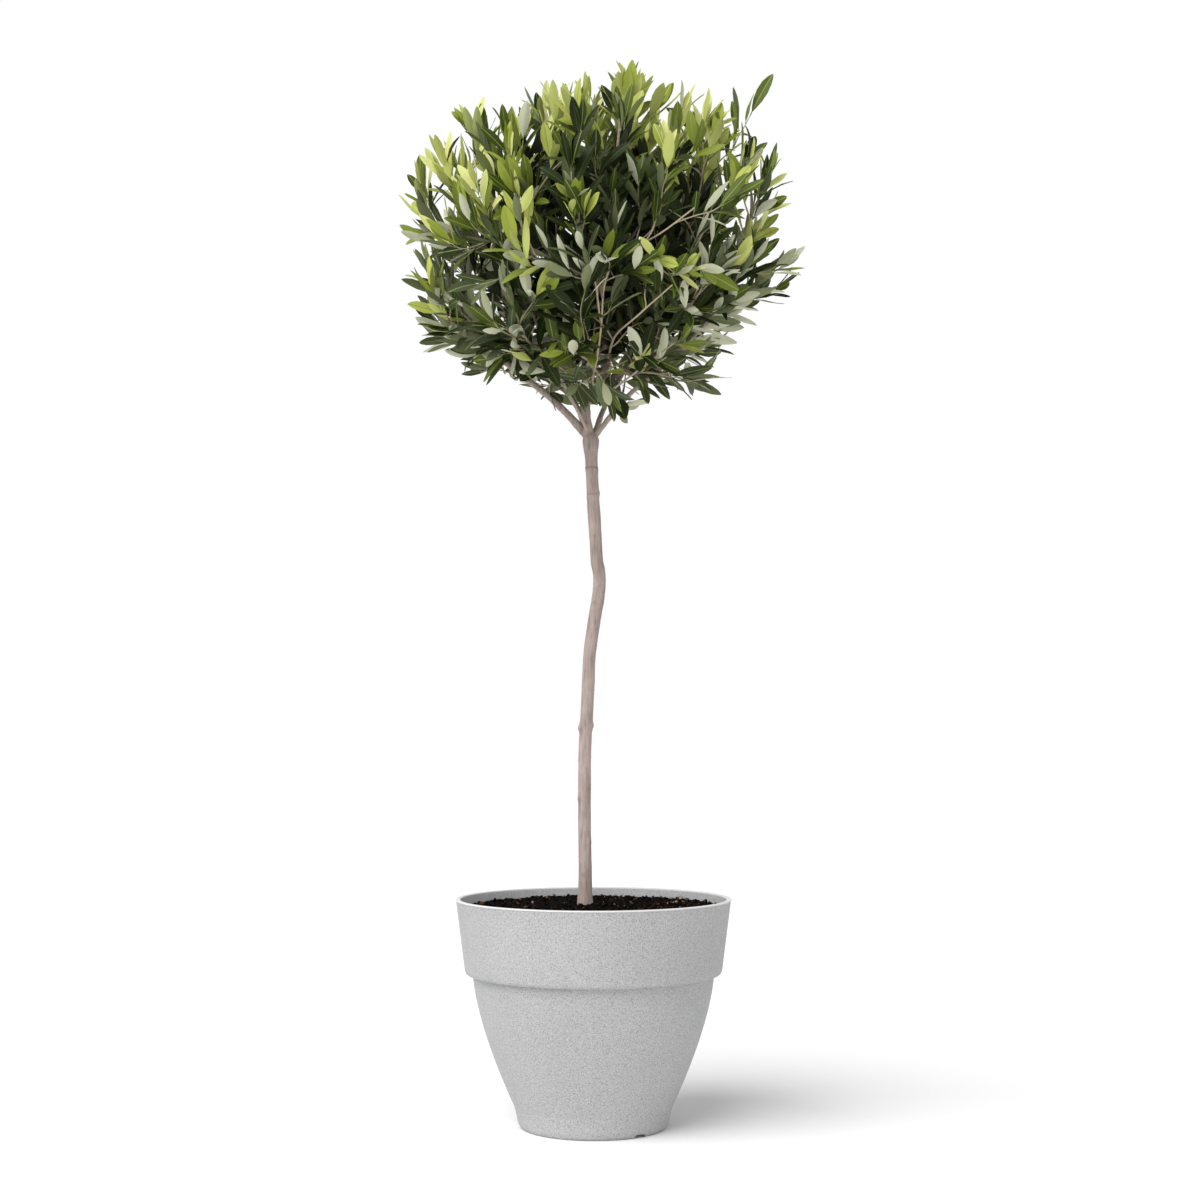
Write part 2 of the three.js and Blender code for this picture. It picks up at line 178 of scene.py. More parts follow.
def tube(points, radii, sides, soup, material=0, phase=0.0, materials=None):
    """A round limb along points, closed at both ends with a blunt cap."""
    p = np.asarray(points, float)
    n = len(p)
    t = np.gradient(p, axis=0)
    t = units(t)
    side = np.cross(t[0], [0.0, 0.0, 1.0])
    if np.linalg.norm(side) < 0.1:
        side = np.cross(t[0], [1.0, 0.0, 0.0])
    side = unit(side)
    rings = []
    angles = phase + np.arange(sides) * 2 * math.pi / sides
    for i in range(n):
        side = unit(side - t[i] * float(side @ t[i]))
        up = np.cross(t[i], side)
        rings.append(p[i] + radii[i] * (np.cos(angles)[:, None] * side + np.sin(angles)[:, None] * up))
    verts = np.vstack([p[0] - t[0] * radii[0] * 0.4, *rings, p[-1] + t[-1] * radii[-1] * 0.6])
    faces, mats = [], []
    for k in range(sides):
        j = (k + 1) % sides
        faces.append([0, 1 + j, 1 + k])
        mats.append(materials[0] if materials is not None else material)
    for i in range(n - 1):
        a, b = 1 + i * sides, 1 + (i + 1) * sides
        for k in range(sides):
            j = (k + 1) % sides
            faces.append([a + k, a + j, b + j, b + k])
            mats.append(materials[i] if materials is not None else material)
    last, a = len(verts) - 1, 1 + (n - 1) * sides
    for k in range(sides):
        j = (k + 1) % sides
        faces.append([last, a + k, a + j])
        mats.append(materials[-1] if materials is not None else material)
    soup.add(verts, faces, mats)


def noise_at(co, scale, octaves=2, offset=(0.0, 0.0, 0.0)):
    """Fractal noise, about -1 to 1, at points in millimetres."""
    s = Vector(scale)
    o = Vector(offset)
    out = np.empty(len(co))
    for i, c in enumerate(co):
        v = Vector((c[0] * s.x + o.x, c[1] * s.y + o.y, c[2] * s.z + o.z))
        total, amp = 0.0, 1.0
        for _ in range(octaves):
            total += amp * noise.noise(v)
            v = v * 2.07 + Vector((3.1, 7.7, 1.9))
            amp *= 0.5
        out[i] = total
    return out


# ------------------------------------------------------------------ materials
def nodes_of(name):
    m = bpy.data.materials.new(name)
    m.use_nodes = True
    nt = m.node_tree
    nt.nodes.clear()
    out = nt.nodes.new("ShaderNodeOutputMaterial")
    bsdf = nt.nodes.new("ShaderNodeBsdfPrincipled")
    nt.links.new(bsdf.outputs[0], out.inputs[0])
    return m, nt, bsdf


def plain(name, colour, roughness=0.5, specular=0.5, coat=0.0):
    m, nt, bsdf = nodes_of(name)
    bsdf.inputs["Base Color"].default_value = (*colour, 1)
    bsdf.inputs["Roughness"].default_value = roughness
    bsdf.inputs["Specular IOR Level"].default_value = specular
    if coat:
        bsdf.inputs["Coat Weight"].default_value = coat
        bsdf.inputs["Coat Roughness"].default_value = 0.35
    m.diffuse_color = (*colour, 1)
    return m


def texture(nt, kind, scale, detail=2.0, roughness=0.5, stretch=None, attribute=None):
    coords = nt.nodes.new("ShaderNodeTexCoord")
    source = coords.outputs["Object"]
    if stretch:
        mapping = nt.nodes.new("ShaderNodeMapping")
        mapping.inputs["Scale"].default_value = stretch
        nt.links.new(source, mapping.inputs["Vector"])
        source = mapping.outputs["Vector"]
    t = nt.nodes.new("ShaderNodeTexNoise" if kind == "noise" else "ShaderNodeTexVoronoi")
    nt.links.new(source, t.inputs["Vector"])
    t.inputs["Scale"].default_value = scale
    if kind == "noise":
        t.inputs["Detail"].default_value = detail
        t.inputs["Roughness"].default_value = roughness
        return t.outputs["Fac"]
    return t.outputs["Distance"] if kind == "cells" else t.outputs["Color"]


def ramp(nt, source, stops):
    r = nt.nodes.new("ShaderNodeValToRGB")
    nt.links.new(source, r.inputs["Fac"])
    e = r.color_ramp.elements
    while len(e) < len(stops):
        e.new(0.5)
    for el, (pos, col) in zip(e, stops):
        el.position = pos
        el.color = (*col, 1) if len(col) == 3 else col
    return r.outputs["Color"]


def mix(nt, factor, a, b, blend="MIX"):
    n = nt.nodes.new("ShaderNodeMix")
    n.data_type = "RGBA"
    n.blend_type = blend
    for socket, value in ((n.inputs[0], factor), (n.inputs[6], a), (n.inputs[7], b)):
        if hasattr(value, "links"):
            nt.links.new(value, socket)
        elif isinstance(value, (int, float)):
            socket.default_value = value
        else:
            socket.default_value = (*value, 1)
    return n.outputs[2]


def math_node(nt, op, a, b=0.0, clamp=False):
    n = nt.nodes.new("ShaderNodeMath")
    n.operation = op
    n.use_clamp = clamp
    for socket, value in ((n.inputs[0], a), (n.inputs[1], b)):
        if hasattr(value, "links"):
            nt.links.new(value, socket)
        else:
            socket.default_value = value
    return n.outputs[0]


def bump(nt, bsdf, height, strength, distance):
    b = nt.nodes.new("ShaderNodeBump")
    b.inputs["Strength"].default_value = strength
    b.inputs["Distance"].default_value = distance
    nt.links.new(height, b.inputs["Height"])
    nt.links.new(b.outputs[0], bsdf.inputs["Normal"])


def grey(v):
    return (v, v, v)


def pot_material():
    m, nt, bsdf = nodes_of("pot_speckled_plastic")
    base = ramp(nt, texture(nt, "noise", 9, 3), [(0.3, (0.378, 0.380, 0.380)), (0.7, (0.420, 0.422, 0.421))])
    dark = ramp(nt, texture(nt, "noise", 780, 2.2, 0.62), [(0.50, grey(0.0)), (0.64, grey(0.85))])
    light = ramp(nt, texture(nt, "noise", 690, 2.0, 0.6, stretch=(1.03, 0.97, 1.1)), [(0.53, grey(0.0)), (0.68, grey(0.85))])
    colour = mix(nt, light, base, (0.56, 0.562, 0.558))
    colour = mix(nt, dark, colour, (0.235, 0.237, 0.239))
    # painted highlight: the lip is painted lighter where light catches the rim
    split = nt.nodes.new("ShaderNodeSeparateXYZ")
    nt.links.new(nt.nodes.new("ShaderNodeTexCoord").outputs["Object"], split.inputs[0])
    height = math_node(nt, "MULTIPLY", split.outputs["Z"], 1 / (POT["height"] * MM))
    colour = mix(nt, ramp(nt, height, [(0.9925, grey(0.0)), (0.997, grey(0.75))]), colour, grey(0.80))
    nt.links.new(colour, bsdf.inputs["Base Color"])
    rough = ramp(nt, texture(nt, "noise", 160, 2), [(0.3, grey(0.6)), (0.7, grey(0.74))])
    nt.links.new(rough, bsdf.inputs["Roughness"])
    bsdf.inputs["Specular IOR Level"].default_value = 0.38
    fine = texture(nt, "noise", 720, 3, 0.6)
    bump(nt, bsdf, fine, 0.22, 0.0005)
    return m


def soil_material(name, dark, light, scale=260):
    m, nt, bsdf = nodes_of(name)
    a = texture(nt, "noise", scale, 5, 0.7)
    b = texture(nt, "noise", scale * 0.22, 3, 0.6)
    colour = ramp(nt, a, [(0.34, dark), (0.62, lerp(np.array(dark), np.array(light), 0.45)), (0.78, light)])
    shade = ramp(nt, b, [(0.3, grey(0.55)), (0.7, grey(1.0))])
    colour = mix(nt, 1.0, colour, shade, "MULTIPLY")
    nt.links.new(colour, bsdf.inputs["Base Color"])
    rough = ramp(nt, a, [(0.3, grey(0.96)), (0.7, grey(0.82))])
    nt.links.new(rough, bsdf.inputs["Roughness"])
    bsdf.inputs["Specular IOR Level"].default_value = 0.05
    bump(nt, bsdf, a, 0.7, 0.0012)
    return m


def bark_material():
    m, nt, bsdf = nodes_of("olive_bark")
    streak = texture(nt, "noise", 1.0, 4, 0.62, stretch=(330, 330, 42))
    patch = texture(nt, "noise", 28, 3, 0.55)
    grain = texture(nt, "noise", 900, 3, 0.6)
    base = ramp(nt, streak, [(0.26, (0.225, 0.178, 0.155)), (0.44, (0.345, 0.284, 0.257)), (0.66, (0.425, 0.360, 0.332)), (0.82, (0.500, 0.440, 0.410))])
    tone = ramp(nt, patch, [(0.32, (0.80, 0.79, 0.78)), (0.68, (1.08, 1.05, 1.03))])
    colour = mix(nt, 1.0, base, tone, "MULTIPLY")
    fleck = ramp(nt, grain, [(0.62, grey(0.0)), (0.75, grey(0.35))])
    colour = mix(nt, fleck, colour, (0.17, 0.135, 0.11))
    mark = nt.nodes.new("ShaderNodeAttribute")
    mark.attribute_name = "mark"
    colour = mix(nt, mark.outputs["Fac"], colour, (0.115, 0.085, 0.065))
    pale = nt.nodes.new("ShaderNodeAttribute")
    pale.attribute_name = "pale"
    tone = mix(nt, pale.outputs["Fac"], (0.93, 0.93, 0.93), (1.09, 1.08, 1.08))
    colour = mix(nt, 1.0, colour, tone, "MULTIPLY")
    young = nt.nodes.new("ShaderNodeAttribute")
    young.attribute_name = "young"
    tint = mix(nt, 0.35, (0.40, 0.335, 0.235), base)
    colour = mix(nt, young.outputs["Fac"], colour, tint)
    nt.links.new(colour, bsdf.inputs["Base Color"])
    rough = ramp(nt, streak, [(0.3, grey(0.9)), (0.7, grey(0.72))])
    nt.links.new(rough, bsdf.inputs["Roughness"])
    bsdf.inputs["Specular IOR Level"].default_value = 0.3
    both = math_node(nt, "ADD", math_node(nt, "MULTIPLY", streak, 0.7), math_node(nt, "MULTIPLY", grain, 0.3))
    bump(nt, bsdf, both, 0.45, 0.0007)
    return m


# ------------------------------------------------------------------------ pot
def body_radius(z):
    t = (z - POT["waist_z"]) / (POT["band_under_z"] - POT["waist_z"])
    return POT["waist"] + (POT["body_top"] - POT["waist"]) * (1 - (1 - t) ** POT["bulge"])


def inner_radius(z):
    zs = [POT["floor"], 50, 95, POT["band_under_z"] - 4, POT["height"]]
    rs = [POT["foot"] - POT["wall"], body_radius(50) - POT["wall"], body_radius(95) - POT["wall"],
          body_radius(POT["band_under_z"] - 4) - POT["wall"], POT["rim"] - POT["lip"] - POT["wall"]]
    return float(np.interp(z, zs, rs))


def rounded(profile):
    """A profile of (r, z, corner radius) with its corners rounded off."""
    out = []
    for i, (r, z, c) in enumerate(profile):
        p = np.array([r, z], float)
        if c <= 0 or i == 0 or i == len(profile) - 1:
            out.append(p)
            continue
        a, b = np.array(profile[i - 1][:2], float), np.array(profile[i + 1][:2], float)
        la, lb = np.linalg.norm(a - p), np.linalg.norm(b - p)
        reach = min(c, la * 0.48, lb * 0.48)
        pa, pb = p + (a - p) / la * reach, p + (b - p) / lb * reach
        for t in np.linspace(0, 1, 6):
            out.append((1 - t) ** 2 * pa + 2 * t * (1 - t) * p + t * t * pb)
    return out


def make_pot(material):
    P = POT
    profile = [(0, 0.9, 0), (P["foot"] - 16, 0.9, 0), (P["foot"] - 12, 0, 1.2), (P["foot"] - P["foot_edge"], 0, 0.9),
               (P["foot"], P["foot_edge"], 2.0)]
    for z in np.linspace(7, P["waist_z"] - 2.6, 5):
        profile.append((lerp(P["foot"], P["waist"], 0.62 * z / (P["waist_z"] * 0.68)) if z < P["waist_z"] * 0.68
                        else lerp(P["foot"], P["waist"], lerp(0.62, 1, (z / P["waist_z"] - 0.68) / 0.32)), z, 0))
    profile.append((P["waist"], P["waist_z"], 5))
    for z in np.linspace(P["waist_z"], P["band_under_z"] - 1.0, 30)[2:]:
        profile.append((body_radius(z), z, 0))
    profile += [(P["body_top"], P["band_under_z"] + 0.1, 0.8), (P["band_foot"] - 2.4, P["band_under_z"] + 0.7, 1.4),
                (P["band_foot"] - 0.7, P["band_under_z"] + 2.9, 1.2), (P["band_foot"], P["band_foot_z"], 2.5)]
    for t in np.linspace(0.12, 0.95, 9):
        profile.append((lerp(P["band_foot"], P["rim"] - 0.7, t), lerp(P["band_foot_z"], P["height"] - 2.4, t), 0))
    profile += [(P["rim"] - 0.7, P["height"] - 2.0, 0.3), (P["rim"], P["height"] - 1.5, 0.5), (P["rim"], P["height"] - 0.1, 0.8),
                (P["rim"] - 2.0, P["height"] + 0.0, 0.9), (inner_radius(P["height"]) + 0.2, P["height"], 1.3)]
    for z in [238, 230, 215, 200, 180, P["band_under_z"] - 4, 130, 95, 70, 50, 30, P["floor"] + 3]:
        profile.append((inner_radius(z), z, 0))
    profile += [(inner_radius(P["floor"]), P["floor"], 3), (0, P["floor"], 0)]
    ring = rounded(profile)
    sides = 216
    ang = np.arange(sides) * 2 * math.pi / sides
    verts, faces, rows = [], [], []
    for r, z in ring:
        if r < 1e-6:
            rows.append([len(verts)])
            verts.append((0, 0, z))
        else:
            rows.append(list(range(len(verts), len(verts) + sides)))
            verts.extend(zip(r * np.cos(ang), r * np.sin(ang), [z] * sides))
    for a, b in zip(rows[:-1], rows[1:]):
        for k in range(sides):
            j = (k + 1) % sides
            if len(a) == 1:
                faces.append([a[0], b[j], b[k]])
            elif len(b) == 1:
                faces.append([a[k], a[j], b[0]])
            else:
                faces.append([a[k], a[j], b[j], b[k]])
    pot = make_mesh("pot_moulding", verts, faces, [material])
    cutters = []
    for k in range(P["notches"]):
        angle = math.radians(P["notch_angle"] + 120 * k)
        w, h, d = P["notch_width"] / 2, P["notch_height"], P["notch_depth"] + 9
        prof = [(-w, -2), (w, -2), (w, h * 0.55), (w - 1.4, h), (-w + 1.4, h), (-w, h * 0.55)]
        cv = [(P["foot"] - d, y, z) for y, z in prof] + [(P["foot"] + 9, y, z) for y, z in prof]
        n = len(prof)
        cf = [list(range(n))[::-1], list(range(n, 2 * n))] + [[i, (i + 1) % n, n + (i + 1) % n, n + i] for i in range(n)]
        c, s = math.cos(angle), math.sin(angle)
        cv = [(x * c - y * s, x * s + y * c, z) for x, y, z in cv]
        cutter = make_mesh(f"cutter_{k}", cv, cf, [material], smooth=False)
        cutters.append(cutter)
        mod = pot.modifiers.new("notch", "BOOLEAN")
        mod.operation = "DIFFERENCE"
        mod.solver = "EXACT"
        mod.object = cutter
    apply_modifiers(pot)
    for c in cutters:
        bpy.data.objects.remove(c)
    sharpen(pot, 50)
    return pot


def apply_modifiers(ob):
    bpy.context.view_layer.update()
    dg = bpy.context.evaluated_depsgraph_get()
    me = bpy.data.meshes.new_from_object(ob.evaluated_get(dg))
    ob.modifiers.clear()
    old = ob.data
    ob.data = me
    me.name = old.name + "_made"
    bpy.data.meshes.remove(old)


def sharpen(ob, degrees):
    me = ob.data
    me.polygons.foreach_set("use_smooth", np.full(len(me.polygons), True))
    me.set_sharp_from_angle(angle=math.radians(degrees))
    me.update()


# ----------------------------------------------------------------------- soil
def soil_level(r):
    return SOIL_WALL + SOIL_MOUND * (1 - smoothstep(r, SOIL_SEAT, 70))


def make_soil():
    # near black: the potting mix's own dark tone, taken darker still as painted shade
    bed = soil_material("potting_mix", (0.0007, 0.0006, 0.0005), (0.0085, 0.0056, 0.004))
    edge = inner_radius(236) - 0.35
    step = 2.0
    verts, rows = [(0.0, 0.0)], [[0]]
    radii = np.arange(step, edge, step).tolist() + [edge]
    for r in radii:
        n = 6 * max(1, int(r / step))
        n = min(n, 330)
        off = 0.5 * (len(rows) % 2)
        rows.append(list(range(len(verts), len(verts) + n)))
        a = (np.arange(n) + off) * 2 * math.pi / n
        verts.extend(zip(r * np.cos(a), r * np.sin(a)))
    xy = np.array(verts)
    r = np.hypot(xy[:, 0], xy[:, 1])
    co = np.column_stack([xy, np.zeros(len(xy))])
    big = noise_at(co, (0.028,) * 3, 2)
    clod = noise_at(co, (0.11,) * 3, 3, (5, 1, 2))
    fine = noise_at(co, (0.42,) * 3, 2, (1, 8, 3))
    calm = 1 - 0.55 * smoothstep(r, edge - 9, edge)
    z = soil_level(r) - 1.2 + calm * (1.5 * big + 2.2 * np.maximum(clod, -0.3) + 0.9 * fine) - 0.9 * smoothstep(r, edge - 5, edge)
    top = np.column_stack([xy, z])
    faces = []
    for a, b in zip(rows[:-1], rows[1:]):
        if len(a) == 1:
            faces += [[a[0], b[k], b[(k + 1) % len(b)]] for k in range(len(b))]
            continue
        i = j = 0
        na, nb = len(a), len(b)
        fa = lambda k: math.atan2(verts[a[k % na]][1], verts[a[k % na]][0]) % (2 * math.pi) + (2 * math.pi if k >= na else 0)
        fb = lambda k: math.atan2(verts[b[k % nb]][1], verts[b[k % nb]][0]) % (2 * math.pi) + (2 * math.pi if k >= nb else 0)
        while i < na or j < nb:
            if j >= nb or (i < na and fa(i + 1) < fb(j + 1)):
                faces.append([a[i % na], b[j % nb], a[(i + 1) % na]])
                i += 1
            else:
                faces.append([a[i % na], b[j % nb], b[(j + 1) % nb]])
                j += 1
    # a skirt down the wall and a flat bottom, so that the bed is a closed body
    n = len(rows[-1])
    base = len(top)
    rim = top[rows[-1]]
    levels = [(edge, 190.0), (inner_radius(120) - 0.5, 120.0), (inner_radius(50) - 0.5, 50.0), (inner_radius(7) - 0.8, 6.6)]
    a = np.arctan2(rim[:, 1], rim[:, 0])
    more = [np.column_stack([min(rr, inner_radius(zz) - 0.4) * np.cos(a), min(rr, inner_radius(zz) - 0.4) * np.sin(a), np.full(n, zz)]) for rr, zz in levels]
    rings = [rows[-1]] + [list(range(base + k * n, base + (k + 1) * n)) for k in range(len(levels))]
    for p, q in zip(rings[:-1], rings[1:]):
        faces += [[p[k], q[k], q[(k + 1) % n], p[(k + 1) % n]] for k in range(n)]
    faces.append(rings[-1][::-1])
    soil = make_mesh("soil_bed", np.vstack([top, *more]), faces, [bed])

    def height(x, y):
        rr = math.hypot(x, y)
        c = (x, y, 0.0)
        v = noise_at([c], (0.028,) * 3, 2)[0] * 1.5 + 2.2 * max(noise_at([c], (0.11,) * 3, 3, (5, 1, 2))[0], -0.3)
        return float(soil_level(rr)) - 1.2 + v * (1 - 0.55 * float(smoothstep(rr, edge - 9, edge)))

    def spot(limit):
        while True:
            rr, a = limit * math.sqrt(rng.random()), rng.random() * 2 * math.pi
            x, y = rr * math.cos(a), rr * math.sin(a)
            if math.hypot(x + 9.3, y) > 9.5:
                return x, y

    # crumbs
    ico_v, ico_f = icosphere(1)
    crumbs = Soup()
    for _ in range(1500):
        x, y = spot(edge - 3.5)
        size = 0.5 + 2.0 * rng.random() ** 2.6
        s = np.array([rng.uniform(0.7, 1.3), rng.uniform(0.7, 1.3), rng.uniform(0.5, 0.9)]) * size
        v = ico_v * (1 + nrng.uniform(-0.22, 0.22, (len(ico_v), 1))) * s
        v = v @ turn_matrix().T + [x, y, height(x, y) + size * 0.25]
        crumbs.add(v, ico_f, rng.choice([0, 0, 1]))
    # the crumbs are near black too, partly painted shade like the bed
    crumb_mats = [soil_material("crumb_peat", (0.0009, 0.0007, 0.0006), (0.0045, 0.0032, 0.0024), 700),
                  soil_material("crumb_brown", (0.0045, 0.0028, 0.0019), (0.022, 0.013, 0.0085), 600)]
    crumb_ob = crumbs.build("soil_crumbs", crumb_mats)

    # bark chips and coir fibre, gathered in loose drifts
    chips = Soup()
    drifts = [(rng.uniform(-120, 120), rng.uniform(-120, 120)) for _ in range(9)] + [(8, -30), (-20, -60), (75, -40), (-80, -20), (95, 20)]
    for k in range(860):
        if rng.random() < 0.6:
            dx, dy = rng.choice(drifts)
            x, y = dx + rng.gauss(0, 13), dy + rng.gauss(0, 13)
            if math.hypot(x, y) > edge - 5 or math.hypot(x + 9.3, y) < 10:
                x, y = spot(edge - 5)
        else:
            x, y = spot(edge - 5)
        long = 1.6 + 6.0 * rng.random() ** 2.2
        wide, thick = long * rng.uniform(0.32, 0.75), rng.uniform(0.35, 0.9)
        v, f = chip(long, wide, thick)
        tilt = Matrix.Rotation(rng.uniform(0, 6.28), 3, "Z") @ Matrix.Rotation(rng.gauss(0, 0.5), 3, "X") @ Matrix.Rotation(rng.gauss(0, 0.45), 3, "Y")
        v = v @ np.array(tilt).T + [x, y, height(x, y) + 0.5 + 0.25 * long * rng.random()]
        chips.add(v, f, rng.choices([0, 1, 2, 3, 4], [8, 2.4, 1.4, 0.6, 9])[0])
    for k in range(90):
        x, y = spot(edge - 9)
        a = rng.uniform(0, 6.28)
        n = 6
        long = rng.uniform(4, 13)
        bend = rng.gauss(0, 0.9)
        pts, q = [], np.array([x, y, height(x, y) + 0.3])
        for i in range(n):
            pts.append(q.copy())
            a += bend / n
            q = q + np.array([math.cos(a), math.sin(a), 0]) * long / n
            if math.hypot(q[0], q[1]) > edge - 2:
                break
            q[2] = height(q[0], q[1]) + 0.6 + rng.uniform(-0.3, 1.0)
        if len(pts) > 2:
            tube(pts, [rng.uniform(0.14, 0.26)] * len(pts), 4, chips, rng.choice([0, 4, 4]))
    # chip_dark and chip_brown are near black, partly painted shade like the bed
    chip_mats = [
        soil_material("chip_dark", (0.0025, 0.0015, 0.001), (0.011, 0.006, 0.004), 520),
        soil_material("chip_orange", (0.070, 0.028, 0.014), (0.26, 0.120, 0.066), 520),
        soil_material("chip_tan", (0.18, 0.092, 0.058), (0.48, 0.28, 0.19), 520),
        soil_material("chip_pale", (0.30, 0.25, 0.19), (0.56, 0.49, 0.39), 520),
        soil_material("chip_brown", (0.012, 0.0068, 0.0044), (0.052, 0.029, 0.018), 520),
    ]
    chip_ob = chips.build("soil_chips", chip_mats, smooth=False)
    return soil, crumb_ob, chip_ob


def turn_matrix():
    m = Matrix.Rotation(rng.uniform(0, 6.28), 3, "X") @ Matrix.Rotation(rng.uniform(0, 6.28), 3, "Y") @ Matrix.Rotation(rng.uniform(0, 6.28), 3, "Z")
    return np.array(m)


def icosphere(level):
    t = (1 + 5**0.5) / 2
    v = [(-1, t, 0), (1, t, 0), (-1, -t, 0), (1, -t, 0), (0, -1, t), (0, 1, t), (0, -1, -t), (0, 1, -t), (t, 0, -1), (t, 0, 1), (-t, 0, -1), (-t, 0, 1)]
    v = [list(unit(p)) for p in v]
    f = [(0, 11, 5), (0, 5, 1), (0, 1, 7), (0, 7, 10), (0, 10, 11), (1, 5, 9), (5, 11, 4), (11, 10, 2), (10, 7, 6), (7, 1, 8),
         (3, 9, 4), (3, 4, 2), (3, 2, 6), (3, 6, 8), (3, 8, 9), (4, 9, 5), (2, 4, 11), (6, 2, 10), (8, 6, 7), (9, 8, 1)]
    for _ in range(level - 1 if level > 1 else 0):
        cache, g = {}, []
        def mid(a, b):
            key = (min(a, b), max(a, b))
            if key not in cache:
                cache[key] = len(v)
                v.append(list(unit(np.add(v[a], v[b]))))
            return cache[key]
        for a, b, c in f:
            ab, bc, ca = mid(a, b), mid(b, c), mid(c, a)
            g += [(a, ab, ca), (b, bc, ab), (c, ca, bc), (ab, bc, ca)]
        f = g
    return np.array(v), [list(x) for x in f]


def chip(long, wide, thick):
    """A splinter of bark: an uneven six-sided flake."""
    n = 6
    top, bottom = [], []
    for i in range(n):
        a = i * 2 * math.pi / n + rng.uniform(-0.25, 0.25)
        k = rng.uniform(0.75, 1.1)
        x, y = math.cos(a) * long / 2 * k, math.sin(a) * wide / 2 * k
        top.append((x, y, thick / 2 + rng.uniform(-0.2, 0.2) * thick))
        bottom.append((x * 0.9, y * 0.9, -thick / 2))
    v = np.array(top + bottom)
    f = [list(range(n)), list(range(n, 2 * n))[::-1]] + [[i, n + i, n + (i + 1) % n, (i + 1) % n] for i in range(n)]
    return v, f


# ----------------------------------------------------------------------- wood
def stem_profile(z, angle):
    """Radius of the stem at a height, with flare, ridges at its foot and the fork's swelling."""
    h = z - GROUND
    t = np.clip(h / 518, 0, 1)
    base = lerp(7.15, 6.9, t)
    flare = 1.2 * np.exp(-h / 12)
    ridge = 0.45 * np.exp(-h / 16) * np.cos(angle * 4 + 0.6) + 0.3 * np.exp(-h / 22) * np.cos(angle * 7 + 2)
    fork = 2.5 * np.exp(-(((z - 745) / 12) ** 2))
    return base + flare + ridge + fork


